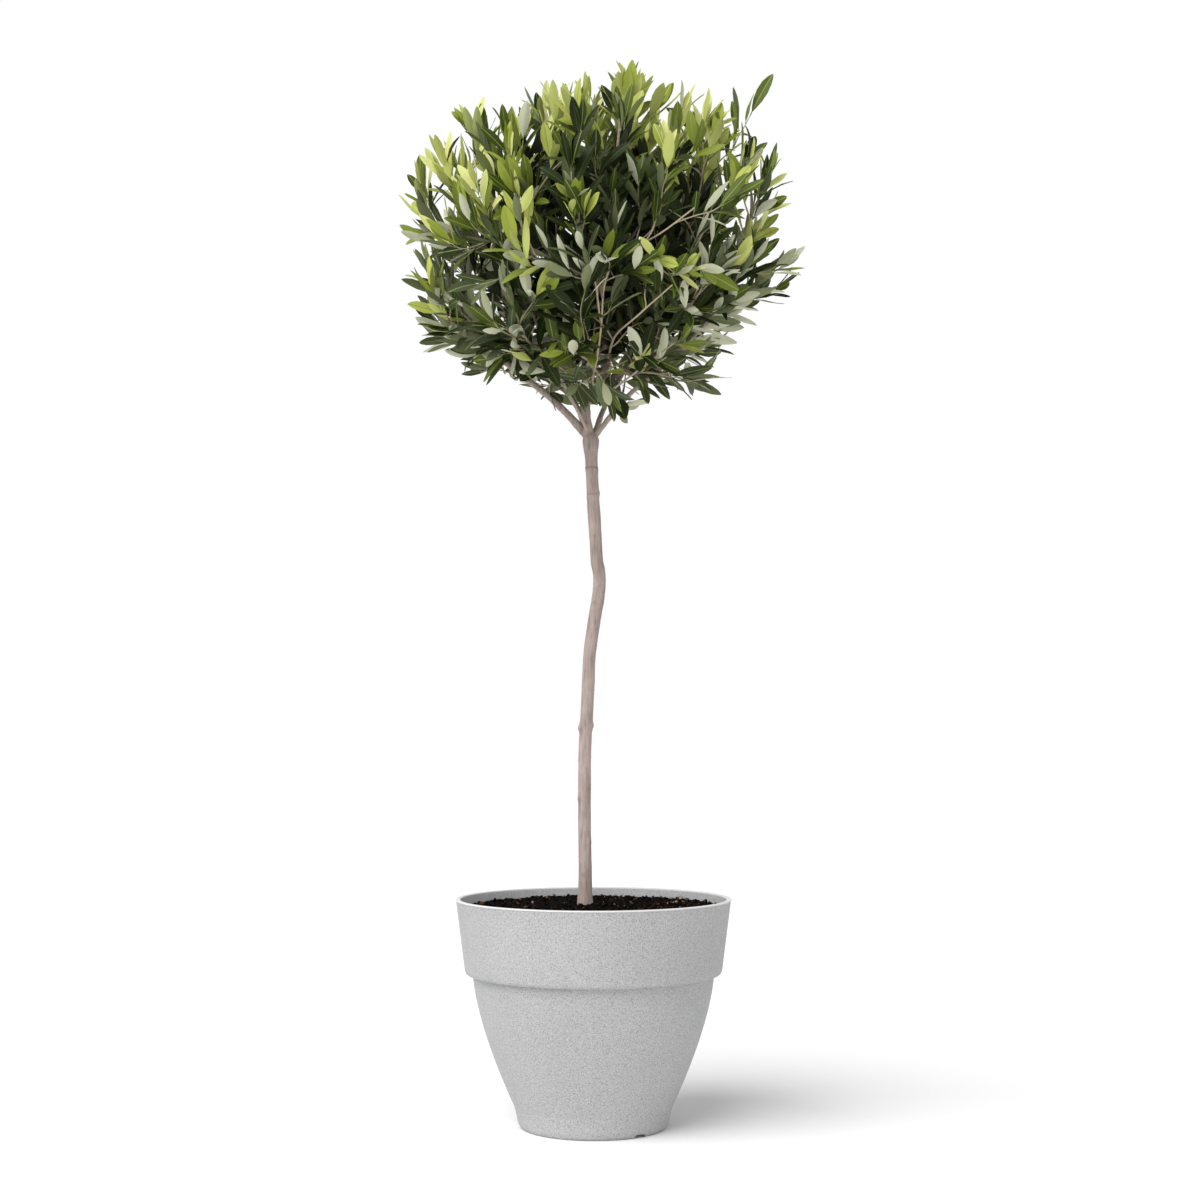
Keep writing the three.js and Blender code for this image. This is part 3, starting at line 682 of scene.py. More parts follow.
def make_wood(material):
    soup = Soup()
    stem = curve_points([(x, y, z) for z, x, y in STEM_BENDS], 150)
    stem[0, 2] = GROUND - 5.0
    sides = 28
    ang = np.arange(sides) * 2 * math.pi / sides
    radii = []
    verts, faces = [], []
    t = units(np.gradient(stem, axis=0))
    for i, p in enumerate(stem):
        side = unit(np.cross([0, 1, 0], t[i]))
        fwd = np.cross(t[i], side)
        r = stem_profile(max(p[2], GROUND), ang)
        if i == len(stem) - 1:
            r = r * 0.3
        elif i == len(stem) - 2:
            r = r * 0.72
        elif i == len(stem) - 3:
            r = r * 0.9
        radii.append(r.mean())
        verts.append(p + np.cos(ang)[:, None] * r[:, None] * side + np.sin(ang)[:, None] * r[:, None] * fwd)
    n = len(stem)
    verts = np.vstack([*verts, [stem[0]], [stem[-1]]])
    for i in range(n - 1):
        for k in range(sides):
            j = (k + 1) % sides
            faces.append([i * sides + k, i * sides + j, (i + 1) * sides + j, (i + 1) * sides + k])
    for k in range(sides):
        j = (k + 1) % sides
        faces.append([n * sides, j, k])
        faces.append([n * sides + 1, (n - 1) * sides + k, (n - 1) * sides + j])
    soup.add(verts, faces)

    paths = {}
    lead = curve_points(LEADER, 60)
    paths["leader"] = (lead, np.array([lerp(4.9, 1.3, t) for t in np.linspace(0, 1, len(lead))]))
    for name, pts, r0, r1 in LIMBS:
        c = curve_points(pts, 34)
        paths[name] = (c, np.array([lerp(r0, r1, t) + 0.2 * r0 * math.exp(-t * 16) for t in np.linspace(0, 1, len(c))]))
    for name, at, pts, r0, r1 in SIDE_LIMBS:
        start = lead[int(at * (len(lead) - 1))]
        c = curve_points([tuple(start)] + pts, 30)
        paths[name] = (c, np.array([lerp(r0, r1, t) + 0.7 * math.exp(-t * 14) for t in np.linspace(0, 1, len(c))]))
    for name, (c, r) in paths.items():
        s = np.concatenate([[0], np.cumsum(np.linalg.norm(np.diff(c, axis=0), axis=1))])
        # each limb wavers a little and swells at its nodes
        wob = np.array([[noise.noise(Vector((s_ * 0.02 + k * 9.1, len(name) * 1.7, k))) for k in range(3)] for s_ in s]) * 2.0
        c += wob * np.clip(s / 40, 0, 1)[:, None]
        r = r * (1 + 0.13 * np.maximum(0, np.cos(2 * math.pi * s / rng.uniform(24, 34))) ** 8)
        paths[name] = (c, r)
        tube(c, r, 16, soup)
    wood = soup.build("stem_and_boughs", [material])
    mod = wood.modifiers.new("blend", "REMESH")
    mod.mode = "VOXEL"
    mod.voxel_size = 1.0 * MM
    mod.use_smooth_shade = True
    apply_modifiers(wood)
    me = wood.data
    co = np.zeros(len(me.vertices) * 3)
    me.vertices.foreach_get("co", co)
    co = co.reshape(-1, 3) / MM
    edges = np.zeros(len(me.edges) * 2, np.int32)
    me.edges.foreach_get("vertices", edges)
    edges = edges.reshape(-1, 2)
    for k in range(6):
        total = np.zeros_like(co)
        count = np.zeros(len(co))
        for a, b in ((0, 1), (1, 0)):
            np.add.at(total, edges[:, a], co[edges[:, b]])
            np.add.at(count, edges[:, a], 1)
        mean = total / np.maximum(count, 1)[:, None]
        co += (mean - co) * (0.6 if k % 2 == 0 else -0.42)
    me.vertices.foreach_set("co", (co * MM).ravel())
    me.update()
    normal = np.zeros(len(me.vertices) * 3)
    me.vertices.foreach_get("normal", normal)
    normal = normal.reshape(-1, 3)
    x, y, z = co.T
    centre_x = np.interp(z, [b[0] for b in STEM_BENDS], [b[1] for b in STEM_BENDS])
    on_stem = (z < 752) & (np.hypot(x - centre_x, y) < 16)
    angle = np.arctan2(y, x - centre_x)
    streak = noise_at(co, (0.34, 0.34, 0.035), 3)
    lump = noise_at(co, (0.05, 0.05, 0.028), 2, (4, 4, 4))
    fine = noise_at(co, (0.9, 0.9, 0.5), 1, (7, 2, 5))
    lift = 0.24 * streak + 0.38 * lump * on_stem + 0.07 * fine
    mark = np.zeros(len(co))
    # nodes of last years' growth: a shallow swelling with a fine crease over it
    for zc, depth in [(262, .25), (306, .3), (352, .3), (398, .25), (475, .2), (521, .2), (566, .3), (609, .3), (640, .3), (686, .8), (716, 1.15)]:
        wave = 1.2 * np.sin(angle * 1 + zc) + 0.6 * np.sin(angle * 3 + zc * 2)
        d = z - zc - wave
        lift += on_stem * depth * (0.42 * np.exp(-((d + 1.5) / 3.2) ** 2) - 0.36 * np.exp(-((d - 0.6) / 0.75) ** 2))
        mark = np.maximum(mark, on_stem * min(1, depth * depth) * 0.62 * np.exp(-((d - 0.6) / 0.9) ** 2))
    # a pair of knobs where side shoots were rubbed off, and a few smaller scars
    for zc, az, size, r in [(429, 178, 1.9, 3.6), (431, 4, 1.6, 3.4), (688, -14, 1.1, 3.0), (352, 200, 0.9, 3), (306, -40, 0.8, 3),
                            (475, -100, 0.7, 2.6), (566, -120, 0.7, 2.8), (385, -75, 0.6, 2.4), (270, -110, 0.7, 2.6), (640, -100, .7, 2.5),
                            (520, 60, 0.8, 2.8), (600, 130, 0.8, 2.8), (660, 90, 0.8, 2.6)]:
        c = np.array([np.interp(zc, [b[0] for b in STEM_BENDS], [b[1] for b in STEM_BENDS]) + 7 * math.cos(math.radians(az)),
                      7 * math.sin(math.radians(az)), zc])
        d = np.linalg.norm((co - c) * [1, 1, 0.8], axis=1)
        lift += on_stem * size * np.exp(-((d / r) ** 2))
        mark = np.maximum(mark, on_stem * 0.4 * np.exp(-((d / 1.5) ** 2)))
    # lenticels: small raised grains across the bark
    for _ in range(420):
        zc, a = rng.uniform(245, 745), rng.uniform(0, 2 * math.pi)
        c = np.array([np.interp(zc, [b[0] for b in STEM_BENDS], [b[1] for b in STEM_BENDS]) + 7.2 * math.cos(a), 7.2 * math.sin(a), zc])
        near = np.abs(z - zc) < 2.5
        d = np.linalg.norm((co[near] - c) * [0.9, 0.9, 1.5], axis=1)
        lift[near] += 0.22 * np.exp(-((d / 0.9) ** 2)) * on_stem[near]
    co += normal * lift[:, None]
    me.vertices.foreach_set("co", (co * MM).ravel())
    young = np.clip((0.75 - mark) * smoothstep(z, 800, 1000), 0, 1)
    right = np.array([np.interp(z, [747, 792, 850], [-2, 36, 104])]).ravel()
    near_right = np.exp(-(((x - right) / 7) ** 2)) * (z > 753) * (z < 830) * (x > 2)
    young = np.maximum(young, 0.55 * near_right)
    front = np.interp(z, [748, 790, 850, 912], [-3, -24, -56, -76])
    frontish = np.exp(-(((x - front) / 5) ** 2)) * (z > 756) * (y < -4)
    young = np.maximum(young, 0.8 * frontish)
    pale = smoothstep(-z, -640, -300)
    for name, values in (("mark", mark), ("young", young), ("pale", pale)):
        at = me.attributes.new(name, "FLOAT", "POINT")
        at.data.foreach_set("value", values.astype(np.float32))
    me.polygons.foreach_set("use_smooth", np.full(len(me.polygons), True))
    me.update()
    if not me.materials:
        me.materials.append(material)
    return wood, paths


# --------------------------------------------------------------------- growth
def direction(az, el):
    a, e = math.radians(az), math.radians(el)
    return np.array([math.cos(e) * math.cos(a), math.cos(e) * math.sin(a), math.sin(e)])


APEX_DIR = direction(APEX_AZ, APEX_EL)


def outline(d):
    """How far the foliage reaches from the middle of the head in direction d."""
    across = math.hypot(d[0], d[1])
    place = (math.atan2(d[2], across) / math.pi + 0.5) * 12
    k = min(11, int(place))
    right = lerp(REACH_RIGHT[k], REACH_RIGHT[k + 1], place - k)
    left = lerp(REACH_LEFT[k], REACH_LEFT[k + 1], place - k)
    side = d[0] / across if across > 1e-6 else 0
    depth = lerp(REACH_DEPTH, 1, side * side)
    apex = math.degrees(math.acos(max(-1, min(1, float(np.dot(d, APEX_DIR)))))) / APEX_SPREAD
    return lerp(left, right, (1 + side) / 2) * depth + (APEX_REACH - 192) * math.exp(-apex * apex)


# Young shoots that give the head its broken edge: where the leafy part starts
# and where its topmost leaf ends.
EDGE_SHOOTS = [
    (36, -20, 1103, 44, -20, 1171), (47, -10, 1106, 52, -10, 1158), (-114, -40, 1070, -123, -40, 1114),
    (-125, -60, 1060, -155, -60, 1097), (-86, -20, 1076, -89, -20, 1111), (-50, -30, 1095, -53, -30, 1145),
    (-26, -40, 1085, -29, -40, 1139), (-9, -20, 1098, -7, -20, 1154), (31, -70, 1085, 9, -70, 1124),
    (-134, -60, 1022, -171, -60, 1066), (-181, -20, 1005, -192, -20, 1063), (-167, -50, 958, -200, -50, 1013),
    (-169, -30, 965, -213, -30, 980), (-139, -110, 926, -175, -110, 971), (-76, -185, 914, -88, -185, 961),
    (-77, -185, 943, -58, -185, 980), (-78, -150, 975, -90, -150, 1024), (68, -50, 1089, 86, -50, 1131),
    (116, -50, 1069, 129, -50, 1122), (122, -30, 1064, 144, -30, 1122), (163, -10, 1078, 157, -10, 1130),
    (164, -60, 1027, 190, -60, 1062), (188, -10, 1016, 204, -10, 1079), (181, -20, 986, 217, -20, 1013),
    (185, -30, 924, 230, -30, 953), (167, -10, 901, 208, -10, 914), (116, -40, 812, 140, -40, 845),
    (104, -60, 803, 136, -60, 797), (-133, -60, 863, -187, -60, 850), (-158, -20, 899, -208, -20, 921),
    (-100, -80, 821, -121, -80, 803), (12, -90, 792, 30, -90, 755), (-70, -16, 842, -112, -30, 830),
    (-58, -30, 834, -66, -62, 812), (-104, -14, 868, -140, -34, 846), (-84, -40, 868, -104, -70, 836),
]
# Single leaves that stand out on the front of the head, each on its own fine stalk:
# base x z, tip x z, depth y, width, tint, 1 where it shows its pale underside.
SHOW_LEAVES = [
    (175, 1112, 199, 1164, 0, 16, 3, 0),
    (158, 1082, 156, 1128, -16, 11, 2, 0),
    (189, 1024, 203, 1078, -12, 8, 2, 0),
    (167, 1046, 190, 1062, -60, 11, 2, 0),
    (39, 1110, 43, 1163, -40, 16, 4, 0),
    (47, 1116, 51, 1154, -30, 10, 5, 0),
    (25, 1124, 30, 1148, -30, 12, 5, 1),
    (30, 1079, 8, 1120, -80, 16, 2, 0),
    (-53, 1099, -53, 1144, -30, 11, 5, 0),
    (-30, 1111, -31, 1137, -34, 8, 4, 0),
    (-8, 1116, -8, 1147, -38, 10, 4, 0),
    (-16, 1099, -18, 1133, -50, 10, 5, 1),
    (-59, 1101, -79, 1138, -20, 3, 6, 0),
    (-120, 1074, -123, 1114, -40, 12, 3, 0),
    (-134, 1082, -154, 1099, -50, 11, 5, 0),
    (-85, 1068, -88, 1096, -60, 11, 4, 0),
    (-188, 1018, -192, 1060, -30, 14, 3, 0),
    (-162, 1024, -183, 1057, -60, 12, 5, 0),
    (-150, 1006, -161, 1043, -80, 11, 5, 1),
    (-148, 942, -187, 981, -80, 15, 5, 0),
    (-181, 960, -213, 977, -40, 13, 3, 0),
    (-79, 915, -91, 962, -178, 18, 4, 0),
    (-77, 949, -61, 981, -180, 13, 5, 1),
    (-82, 977, -88, 1019, -165, 14, 4, 0),
    (-68, 900, -70, 951, -174, 10, 5, 1),
    (-69, 983, -69, 1017, -160, 13, 4, 0),
    (-65, 870, -74, 909, -152, 14, 2, 1),
    (-60, 871, -36, 905, -156, 18, 4, 0),
    (15, 903, 46, 923, -184, 15, 3, 0),
    (67, 907, 48, 927, -174, 12, 4, 1),
    (71, 887, 64, 912, -154, 11, 2, 1),
    (42, 895, 47, 918, -172, 12, 3, 1),
    (97, 865, 92, 895, -122, 13, 2, 1),
    (15, 902, 1, 904, -184, 10, 2, 1),
    (142, 880, 155, 898, -80, 13, 2, 1),
    (126, 868, 136, 882, -94, 10, 2, 1),
    (52, 819, 37, 852, -98, 15, 2, 1),
    (71, 817, 79, 854, -90, 12, 2, 1),
    (-21, 822, -21, 835, -96, 13, 2, 1),
    (102, 806, 101, 823, -44, 11, 2, 1),
    (148, 909, 165, 939, -116, 17, 4, 1),
    (115, 901, 124, 883, -140, 13, 4, 0),
    (93, 898, 109, 915, -152, 12, 5, 1),
    (204, 933, 228, 955, -18, 14, 3, 1),
    (201, 913, 218, 924, 0, 11, 2, 0),
    (180, 985, 210, 1007, -60, 14, 2, 0),
    (160, 991, 139, 1029, -120, 19, 3, 0),
    (108, 1040, 100, 1084, -110, 15, 3, 0),
    (129, 1063, 140, 1111, -60, 14, 4, 0),
    (87, 1059, 90, 1085, -100, 15, 3, 0),
    (67, 1099, 86, 1133, -50, 13, 4, 0),
    (-45, 1017, -51, 1057, -150, 15, 4, 0),
    (-29, 1017, -26, 1046, -160, 12, 3, 0),
    (2, 1014, 4, 1044, -160, 13, 2, 0),
    (-18, 965, -19, 978, -195, 11, 4, 0),
    (-9, 949, -8, 970, -196, 10, 4, 0),
    (-21, 948, -22, 963, -197, 10, 4, 1),
    (-57, 828, -35, 789, -92, 16, 1, 0),
    (22, 796, 37, 767, -14, 21, 1, 0),
    (54, 799, 61, 780, -44, 5, 1, 0),
    (-156, 852, -193, 855, -24, 12, 1, 0),
    (-127, 839, -158, 844, -22, 10, 1, 0),
    (-159, 877, -155, 899, -90, 21, 6, 0),
    (-118, 888, -146, 882, -142, 17, 6, 0),
    (-30, 825, -29, 846, -100, 10, 4, 0),
    (-42, 835, -46, 857, -114, 13, 3, 0),
    (-14, 832, -18, 851, -118, 13, 2, 0),
    (93, 834, 106, 866, -96, 11, 4, 0),
    (84, 895, 91, 911, -154, 13, 3, 0),
    (-125, 822, -135, 867, 0, 13, 6, 1),
    (-103, 837, -115, 815, -68, 10, 2, 1),
    (-153, 856, -188, 867, -54, 13, 2, 1),
    (-46, 806, -28, 813, -26, 11, 2, 1),
    (-48, 797, -34, 782, -24, 14, 6, 0),
    (-64, 821, -91, 832, -70, 12, 6, 1),
    (-82, 828, -66, 811, -50, 11, 2, 1),
    (-96, 833, -121, 827, -46, 12, 2, 1),
    (-59, 815, -80, 805, -36, 10, 1, 0),
    (-20, 802, -8, 776, -30, 12, 6, 0),
    (-6, 808, 4, 784, -26, 10, 6, 0),
]
# Long thin twigs that run out through the open front of the head.
FRONT_TWIGS = [
    [(-7, -3, 786), (12, -34, 791), (54, -88, 813), (84, -112, 832)],
    [(15, 6, 833), (23, -80, 846), (46, -160, 852), (81, -172, 881)],
    [(5, 2, 943), (38, -110, 933), (70, -172, 935), (104, -172, 961)],
    [(74, -12, 820), (96, -52, 803), (130, -68, 804)],
    [(-4, -2, 800), (4, -80, 825), (9, -146, 854), (11, -156, 923)],
]
# places where the upper edge stands open, each x, z and half sizes
OPEN = [(-106, 1110, 18, 28), (-72, 1104, 16, 27), (-145, 1046, 12, 20), (92, 1138, 18, 26), (171, 1080, 15, 27)]
OUTER, INNER = 275, 150


def plan_shoots():
    """Each shoot: base, middle, end, kind, heading and length, and for a shown leaf its row."""
    shoots = []
    golden = math.pi * (3 - 5**0.5)

    def add(end, d, long, kind):
        out = unit(end - HEAD)
        mid = end - unit(d) * long * 0.5
        base = mid - unit(unit(d) * 0.55 + out * 0.55 + np.array([0, 0, 0.25])) * long * 0.5
        shoots.append(dict(base=base, mid=mid, end=end, kind=kind, dir=unit(d), long=long))

    for k, (bx, bz, tx, tz, y, wide, tint, turned) in enumerate(SHOW_LEAVES):
        end, tip = np.array([bx, y, bz], float), np.array([tx, y, tz], float)
        a, out = unit(tip - end), unit(end - HEAD)
        d = unit(a * 0.75 + out * 0.35) if float(a @ out) > 0.25 else unit(a * 0.3 + out * 0.8)
        long = rng.uniform(40, 62)
        mid = end - d * long * 0.5
        base = mid - unit(d * 0.5 + out * 0.6 + np.array([0, 0, 0.15])) * long * 0.5
        shoots.append(dict(base=base, mid=mid, end=end, kind="show", dir=d, show=k, long=long))
    shown = np.array([s["end"] for s in shoots])
    for bx, by, bz, tx, ty, tz in EDGE_SHOOTS:
        b, t = np.array([bx, by, bz], float), np.array([tx, ty, tz], float)
        d = unit(t - b)
        end = t - d * 40
        if np.linalg.norm(shown - end, axis=1).min() < 12:
            continue
        long = max(52.0, float(np.linalg.norm(end - b)) + 34)
        out = unit(end - HEAD)
        mid = end - d * long * 0.5
        base = mid - unit(d * 0.7 + out * 0.4) * long * 0.5
        shoots.append(dict(base=base, mid=mid, end=end, kind="edge", dir=d, long=long))
    taken = [s["end"] for s in shoots]
    for i in range(OUTER):
        zz = 1 - 2 * (i + 0.5) / OUTER
        th = i * golden + rng.gauss(0, 0.12)
        zz = max(-1, min(1, zz + rng.gauss(0, 0.02)))
        rr = math.sqrt(max(0, 1 - zz * zz))
        o = np.array([rr * math.cos(th), rr * math.sin(th), zz])
        el = math.degrees(math.asin(zz))
        if el < -62 and rng.random() < 0.35:
            continue
        lobe = noise.noise(Vector((o[0] * 3.1 + 4.1, o[1] * 3.1 - 1.7, o[2] * 3.1 + 9.2)))
        if el > -10 and rng.random() < 0.62 * smoothstep(-lobe, 0.06, 0.4):
            continue
        share = min(0.995, 0.895 + 0.28 * lobe + rng.uniform(-0.05, 0.045))
        if abs(o[1]) < 0.42:
            share = min(share - 0.03, 0.93 if el < 25 else 0.89)
        tip = HEAD + o * outline(o) * share
        up = np.array([0, 0, 1.0])
        flat = unit([o[0], o[1], 1e-6])
        jitter = nrng.normal(0, 0.17, 3)
        lean = o * [1, 0.8, 1]
        if el > 10:
            d = unit(lean * 0.42 + up * 0.95 + jitter)
        elif el > -30:
            d = unit(lean * 0.58 + up * 0.7 + jitter)
        else:
            d = unit(flat * [0.75, 0.55, 0] + o * 0.25 + up * 0.3 + jitter * 1.3)
        if abs(tip[1]) < 130 and any(((tip[0] - gx) / gw) ** 2 + ((tip[2] - gz) / gh) ** 2 < 1 for gx, gz, gw, gh in OPEN):
            continue
        end = tip - d * 33
        if any(np.linalg.norm(end - q) < 20.5 for q in taken):
            continue
        taken.append(end)
        add(end, d, rng.uniform(70, 118), "outer")
    for i in range(INNER):
        zz = 1 - 2 * (i + 0.5) / INNER
        th = i * golden * 1.7 + rng.gauss(0, 0.3)
        rr = math.sqrt(max(0, 1 - zz * zz))
        o = np.array([rr * math.cos(th), rr * math.sin(th), zz])
        reach = outline(o) * rng.uniform(0.36, 0.72)
        tip = HEAD + o * reach
        if tip[2] < 812 and math.hypot(tip[0], tip[1]) < 60:
            continue
        d = unit(o * 0.6 + np.array([0, 0, 0.45]) + nrng.normal(0, 0.35, 3))
        add(tip - d * 20, d, rng.uniform(44, 70), "inner")
    return shoots


def bezier(p0, p1, p2, p3, n):
    t = np.linspace(0, 1, n)[:, None]
    return (1 - t) ** 3 * p0 + 3 * (1 - t) ** 2 * t * p1 + 3 * (1 - t) * t * t * p2 + t**3 * p3


def grow(paths, shoots):
    """Joins every shoot to the nearest fitting place on the limbs and on the twigs grown before it."""
    pos, heading, parent, on_limb = [], [], [], []
    for name, (c, r) in paths.items():
        dense = curve_points(c, max(6, int(length_of(c) / 7)))
        t = units(np.gradient(dense, axis=0))
        skip = 5 if name != "leader" else 8
        for i in range(skip, len(dense)):
            pos.append(dense[i])
            heading.append(t[i])
            parent.append(-1)
            on_limb.append(True)
    chains = []
    order = sorted(range(len(shoots)), key=lambda i: np.linalg.norm((shoots[i]["base"] - [0, 0, 800]) * [1, 1, 0.8]))
    for i in order:
        s = shoots[i]
        P, H = np.array(pos), np.array(heading)
        v = s["end"] - P
        d = np.linalg.norm(v, axis=1)
        ahead = np.einsum("ij,ij->i", v, H) / np.maximum(d, 1e-6)
        into = (v @ s["dir"]) / np.maximum(d, 1e-6)
        cost = d * (1 + 0.5 * (1 - ahead) + 0.8 * (1 - into)) + 60 * (d < s["long"] * 0.8) + 200 * (into < 0.1)
        q = int(np.argmin(cost))
        gap = d[q]
        h = unit(H[q] * 0.5 + v[q] / max(gap, 1e-6) * 0.75)
        n = max(9, int(gap / 5.5))
        whole = bezier(P[q], P[q] + h * gap * 0.34, s["end"] - s["dir"] * min(gap * 0.42, 44), s["end"], n)
        k = rng.uniform(0, 50)
        wob = np.array([[noise.noise(Vector((j * 0.2 + k, a * 5.3, 0))) for a in range(3)] for j in range(n)])
        whole += wob * (np.sin(np.linspace(0, math.pi, n)) * min(6.0, gap * 0.05))[:, None]
        run = np.concatenate([[0], np.cumsum(np.linalg.norm(np.diff(whole, axis=0), axis=1))])
        bare = min(len(whole) - 5, max(1, int(np.searchsorted(run, max(8.0, run[-1] - s["long"]))) - 1))
        axis = whole[bare:]
        tangent = units(np.gradient(whole, axis=0))
        ids = []
        for j in range(len(whole)):
            if j > bare + len(axis) * 0.5:
                ids.append(-2)
                continue
            ids.append(len(pos))
            pos.append(whole[j])
            heading.append(tangent[j])
            parent.append(q if j == 0 else len(pos) - 2)
            on_limb.append(False)
        chains.append(dict(points=whole, ids=ids, start=q, shoot=i, link=bare))
        s["axis"] = axis
    load = np.zeros(len(pos))
    for c in chains:
        last = [k for k in c["ids"] if k >= 0][-1]
        while last >= 0 and not on_limb[last]:
            load[last] += 1
            last = parent[last]
    return chains, load


# ---------------------------------------------------------------------- leaves
def leaf_template():
    """A leaf of its own outline: short stalk, two-sided blade with a fold along the midrib.
    Rows of (across, along, height above the blade, thickness) and faces with their part: 0 top, 1 underside, 2 midrib and stalk."""
    stations = [0.0, 0.085, 0.18, 0.34, 0.54, 0.74, 0.89, 0.965, 1.0]
    v, rows = [], []

    def width(t):
        s = (t - 0.085) / 0.915
        return max(0.0, (4 * s**1.08 * (1 - s**1.08))) ** 0.81

    for t in stations[:2]:
        w = 0.085
        rows.append([len(v) + k for k in range(4)])
        v += [(-w, t, 0, 0), (0, t, 0, 1.4), (w, t, 0, 0), (0, t, 0, -1.4)]  # L T R B
    for t in stations[2:-1]:
        w = width(t)
        rib = min(0.07, 0.3 * w)
        rows.append([len(v) + k for k in range(9)])
        v += [(-w, t, 1, 0), (-0.55 * w, t, 0.55, 0.8), (-rib, t, 0, 0.55), (rib, t, 0, 0.55), (0.55 * w, t, 0.55, 0.8), (w, t, 1, 0),
              (-0.5 * w, t, 0.5, -0.8), (0, t, 0, -1.9), (0.5 * w, t, 0.5, -0.8)]
    tip = len(v)
    v.append((0, 1.0, 0, 0))
    f, part = [], []

    def add(face, kind):
        f.append(face)
        part.append(kind)

    (L0, T0, R0, B0), (L1, T1, R1, B1) = rows[:2]
    add([L0, T0, T1, L1], 2); add([T0, R0, R1, T1], 2); add([L0, L1, B1, B0], 2); add([B0, B1, R1, R0], 2); add([L0, B0, R0, T0], 2)
    L, a, b, c, d, R, e, g, h = rows[2]
    add([L1, T1, a, L], 0); add([T1, b, a], 0); add([T1, c, b], 2); add([T1, d, c], 0); add([T1, R1, R, d], 0)
    add([L1, L, e, B1], 1); add([B1, e, g], 1); add([B1, g, h], 1); add([B1, h, R, R1], 1)
    sharp = [(L1, L), (R1, R)]
    for p, q in zip(rows[2:-1], rows[3:]):
        for k in range(5):
            add([p[k], p[k + 1], q[k + 1], q[k]], 2 if k == 2 else 0)
        under_p, under_q = [p[0], p[6], p[7], p[8], p[5]], [q[0], q[6], q[7], q[8], q[5]]
        for k in range(4):
            add([under_p[k], under_q[k], under_q[k + 1], under_p[k + 1]], 1)
        sharp += [(p[0], q[0]), (p[5], q[5])]
    p = rows[-1]
    for k in range(5):
        add([p[k], p[k + 1], tip], 2 if k == 2 else 0)
    under = [p[0], p[6], p[7], p[8], p[5]]
    for k in range(4):
        add([under[k], tip, under[k + 1]], 1)
    sharp += [(p[0], tip), (p[5], tip)]
    return np.array(v, float), f, part, sharp


def small_leaf_template():
    stations = [0.12, 0.36, 0.62, 0.86]
    v = [(0, 0, 0, 0)]
    rows = []
    for t in stations:
        s = (t - 0.06) / 0.94
        w = max(0.0, 4 * s * (1 - s)) ** 0.86
        rows.append([len(v) + k for k in range(4)])
        v += [(-w, t, 1, 0), (0, t, 0, 0.7), (w, t, 1, 0), (0, t, 0, -1.1)]
    tip = len(v)
    v.append((0, 1, 0, 0))
    f, part, sharp = [], [], []
    L, T, R, B = rows[0]
    for face, kind in (([0, T, L], 0), ([0, R, T], 0), ([0, L, B], 1), ([0, B, R], 1)):
        f.append(face); part.append(kind)
    sharp += [(0, L), (0, R)]
    for p, q in zip(rows[:-1], rows[1:]):
        for face, kind in (([p[0], p[1], q[1], q[0]], 0), ([p[1], p[2], q[2], q[1]], 0), ([p[0], q[0], q[3], p[3]], 1), ([p[3], q[3], q[2], p[2]], 1)):
            f.append(face); part.append(kind)
        sharp += [(p[0], q[0]), (p[2], q[2])]
    L, T, R, B = rows[-1]
    for face, kind in (([L, T, tip], 0), ([T, R, tip], 0), ([L, tip, B], 1), ([B, tip, R], 1)):
        f.append(face); part.append(kind)
    sharp += [(L, tip), (R, tip)]
    return np.array(v, float), f, part, sharp


def set_leaves(template, leaves):
    """Vertices of many leaves at once, n x v x 3."""
    v = template[0]
    base = np.array([l["p"] for l in leaves])[:, None, :]
    A = np.array([l["a"] for l in leaves])
    N = np.array([l["n"] for l in leaves])
    A = units(A)
    N = units(N - A * np.einsum("ij,ij->i", N, A)[:, None])
    S = np.cross(A, N)
    L = np.array([l["long"] for l in leaves])[:, None]
    W = np.array([l["wide"] for l in leaves])[:, None] / 2
    bend = np.array([l["bend"] for l in leaves])[:, None]
    bend = np.where(np.abs(bend) < 1e-3, 1e-3, bend)
    twist = np.array([l["twist"] for l in leaves])[:, None]
    fold = np.array([l["fold"] for l in leaves])[:, None]
    sweep = np.array([l["sweep"] for l in leaves])[:, None]
    u, t, h, th = (v[:, k][None, :] for k in range(4))
    along = L * np.sin(bend * t) / bend
    drop = -L * (1 - np.cos(bend * t)) / bend
    c, s = np.cos(bend * t)[..., None], np.sin(bend * t)[..., None]
    N1 = N[:, None, :] * c + A[:, None, :] * s
    S1 = S[:, None, :]
    ct, st = np.cos(twist * t)[..., None], np.sin(twist * t)[..., None]
    S2, N2 = S1 * ct + N1 * st, -S1 * st + N1 * ct
    wave = 0.10 * np.sin(t * 9 + twist * 7) * (h > 0)
    half = u * W
    rise = np.abs(half) * np.sin(fold) * (1 - 0.38 * np.abs(u) ** 2) + wave * W * np.abs(u) * 0.9
    flat = half * np.cos(fold * 0.8)
    out = (base + A[:, None, :] * along[..., None] + N[:, None, :] * drop[..., None]
           + S[:, None, :] * (sweep * L * t * t)[..., None] + S2 * flat[..., None] + N2 * (rise + th * 0.19)[..., None])
    return out
